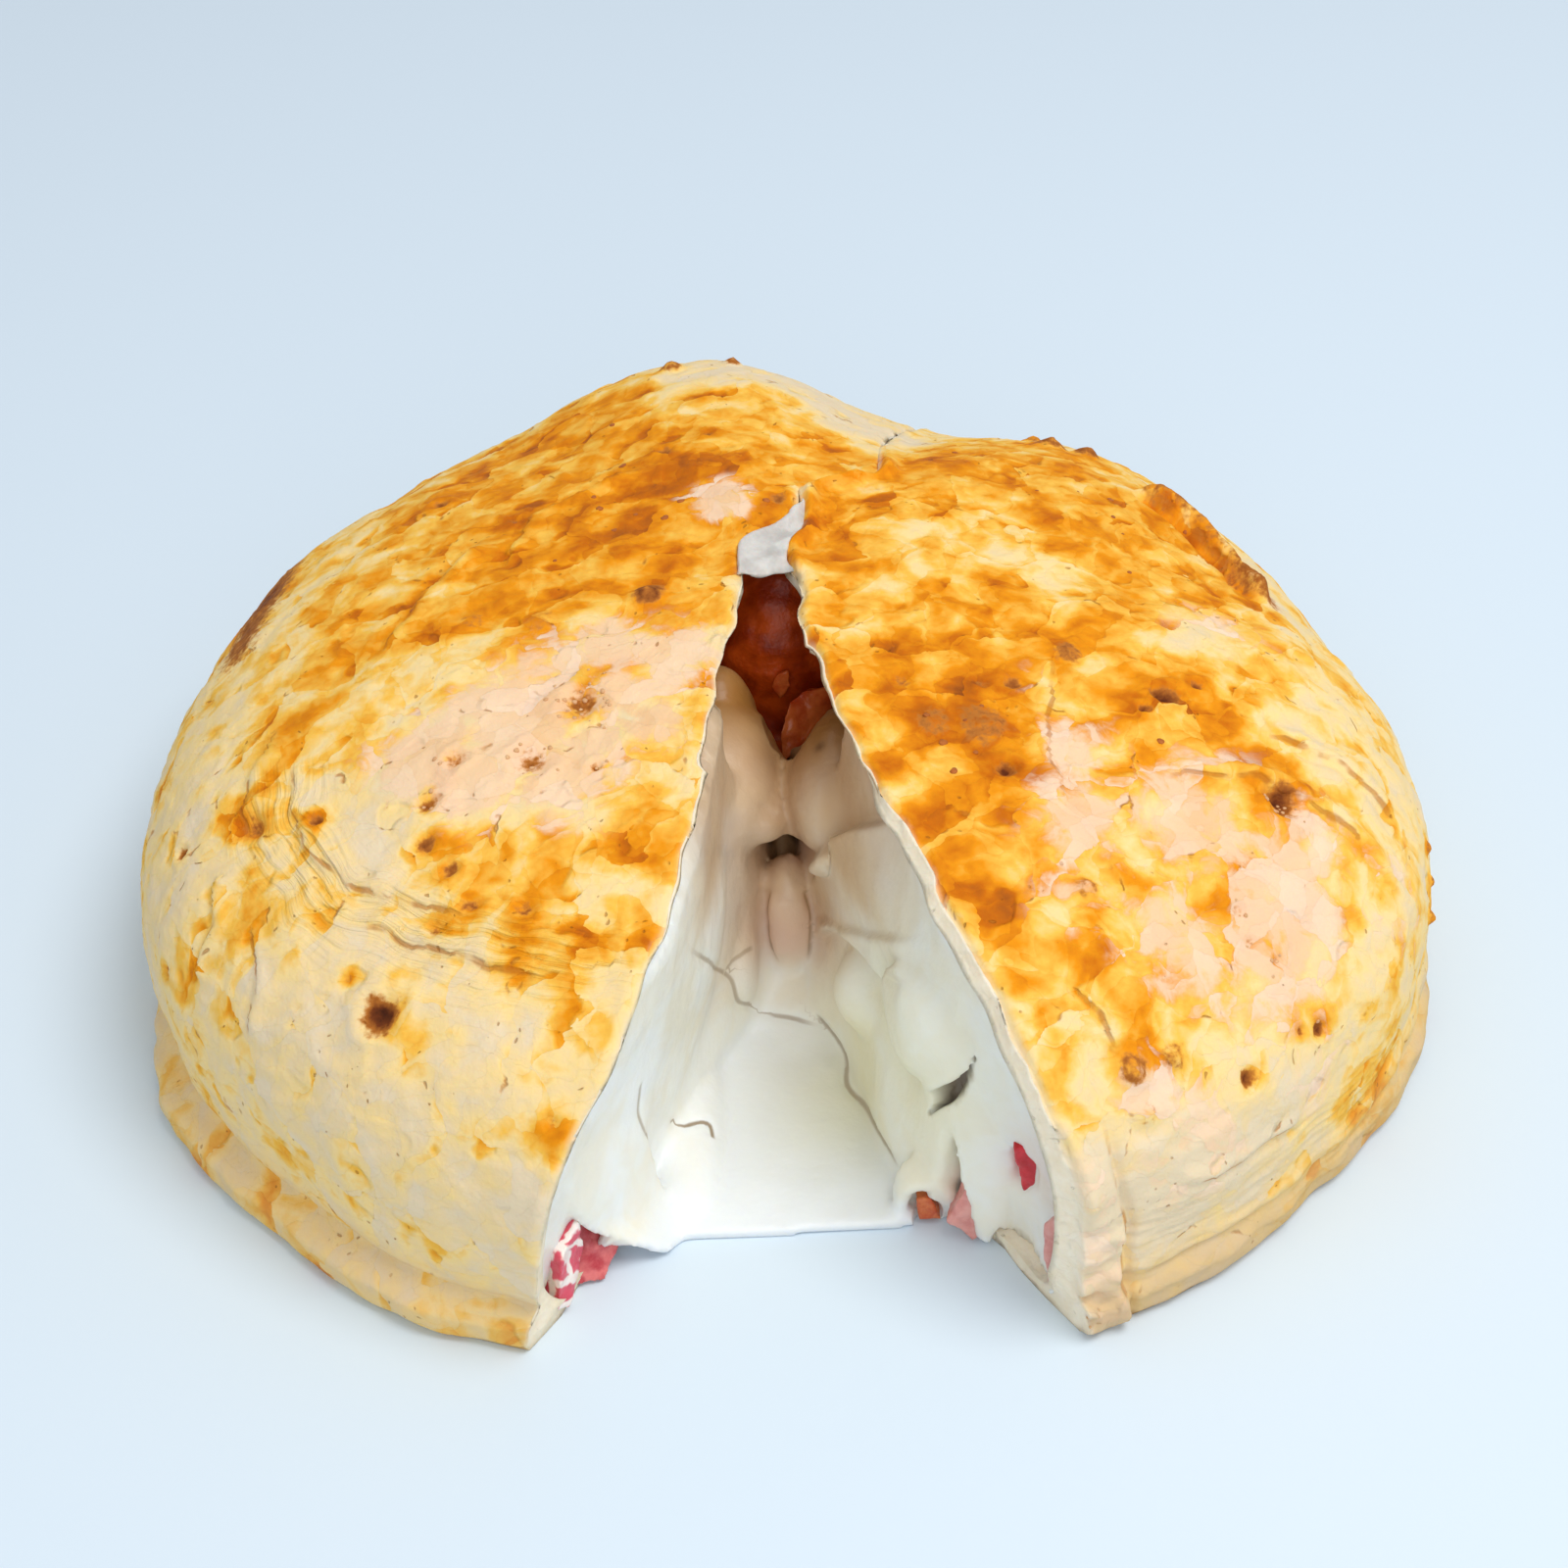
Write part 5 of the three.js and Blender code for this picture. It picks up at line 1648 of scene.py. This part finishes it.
# %% floor
FLOOR_SIZE = 6  # in metres, as all sizes of the floor, the lights and the camera are
bpy.ops.mesh.primitive_plane_add(size=FLOOR_SIZE)
floor = bpy.context.object
floor.name = "floor"
pale = Finish("pale_floor")
pale.set(Base_Color=paint("d9e7f3"), Roughness=0.6)
floor.data.materials.append(pale.material)

# %% light
LIT_SPOT = Vector((0, 0, 0.03))
SKY_COLOUR, SKY_STRENGTH = (0.90, 0.95, 1.0, 1), 0.6


def lamp(name, at, size, power, colour):
    """A round soft lamp that faces the loaf."""
    data = bpy.data.lights.new(name, "AREA")
    data.shape = "DISK"
    data.size = size
    data.energy = power
    data.color = colour
    made = bpy.data.objects.new(name, data)
    bpy.context.scene.collection.objects.link(made)
    made.location = at
    made.rotation_euler = (LIT_SPOT - Vector(at)).to_track_quat("-Z", "Y").to_euler()


scene = bpy.context.scene
scene.view_settings.view_transform = "Standard"
world = bpy.data.worlds.new("bright_room")
scene.world = world
world.use_nodes = True
sky = world.node_tree.nodes["Background"].inputs
sky["Color"].default_value, sky["Strength"].default_value = SKY_COLOUR, SKY_STRENGTH
lamp("window", (0.50, -0.30, 1.35), 0.8, 11.0, (1.0, 0.98, 0.95))
lamp("fill", (0.10, -1.3, 0.8), 0.9, 4, (1.0, 0.98, 0.96))

# %% camera
TARGET, DISTANCE = Vector((0.0009, 0.0369, 0.0)), 0.6253
ELEVATION, ROLL, FIELD = (math.radians(angle) for angle in (37.48, -1.9, 30.0))
lens = bpy.data.cameras.new("camera")
lens.sensor_fit = "AUTO"
lens.angle = FIELD
lens.clip_start = 0.01
camera = bpy.data.objects.new("camera", lens)
scene.collection.objects.link(camera)
back = Vector((0, -math.cos(ELEVATION), math.sin(ELEVATION)))
turn = Matrix.Rotation(math.pi / 2 - ELEVATION, 4, "X") @ Matrix.Rotation(ROLL, 4, "Z")
camera.matrix_world = Matrix.Translation(TARGET + back * DISTANCE) @ turn
scene.camera = camera
print("camera at", [round(v, 3) for v in camera.matrix_world.translation])

# %% sizes and end
def corners(box):
    return [[float(v) for v in corner] for corner in box]
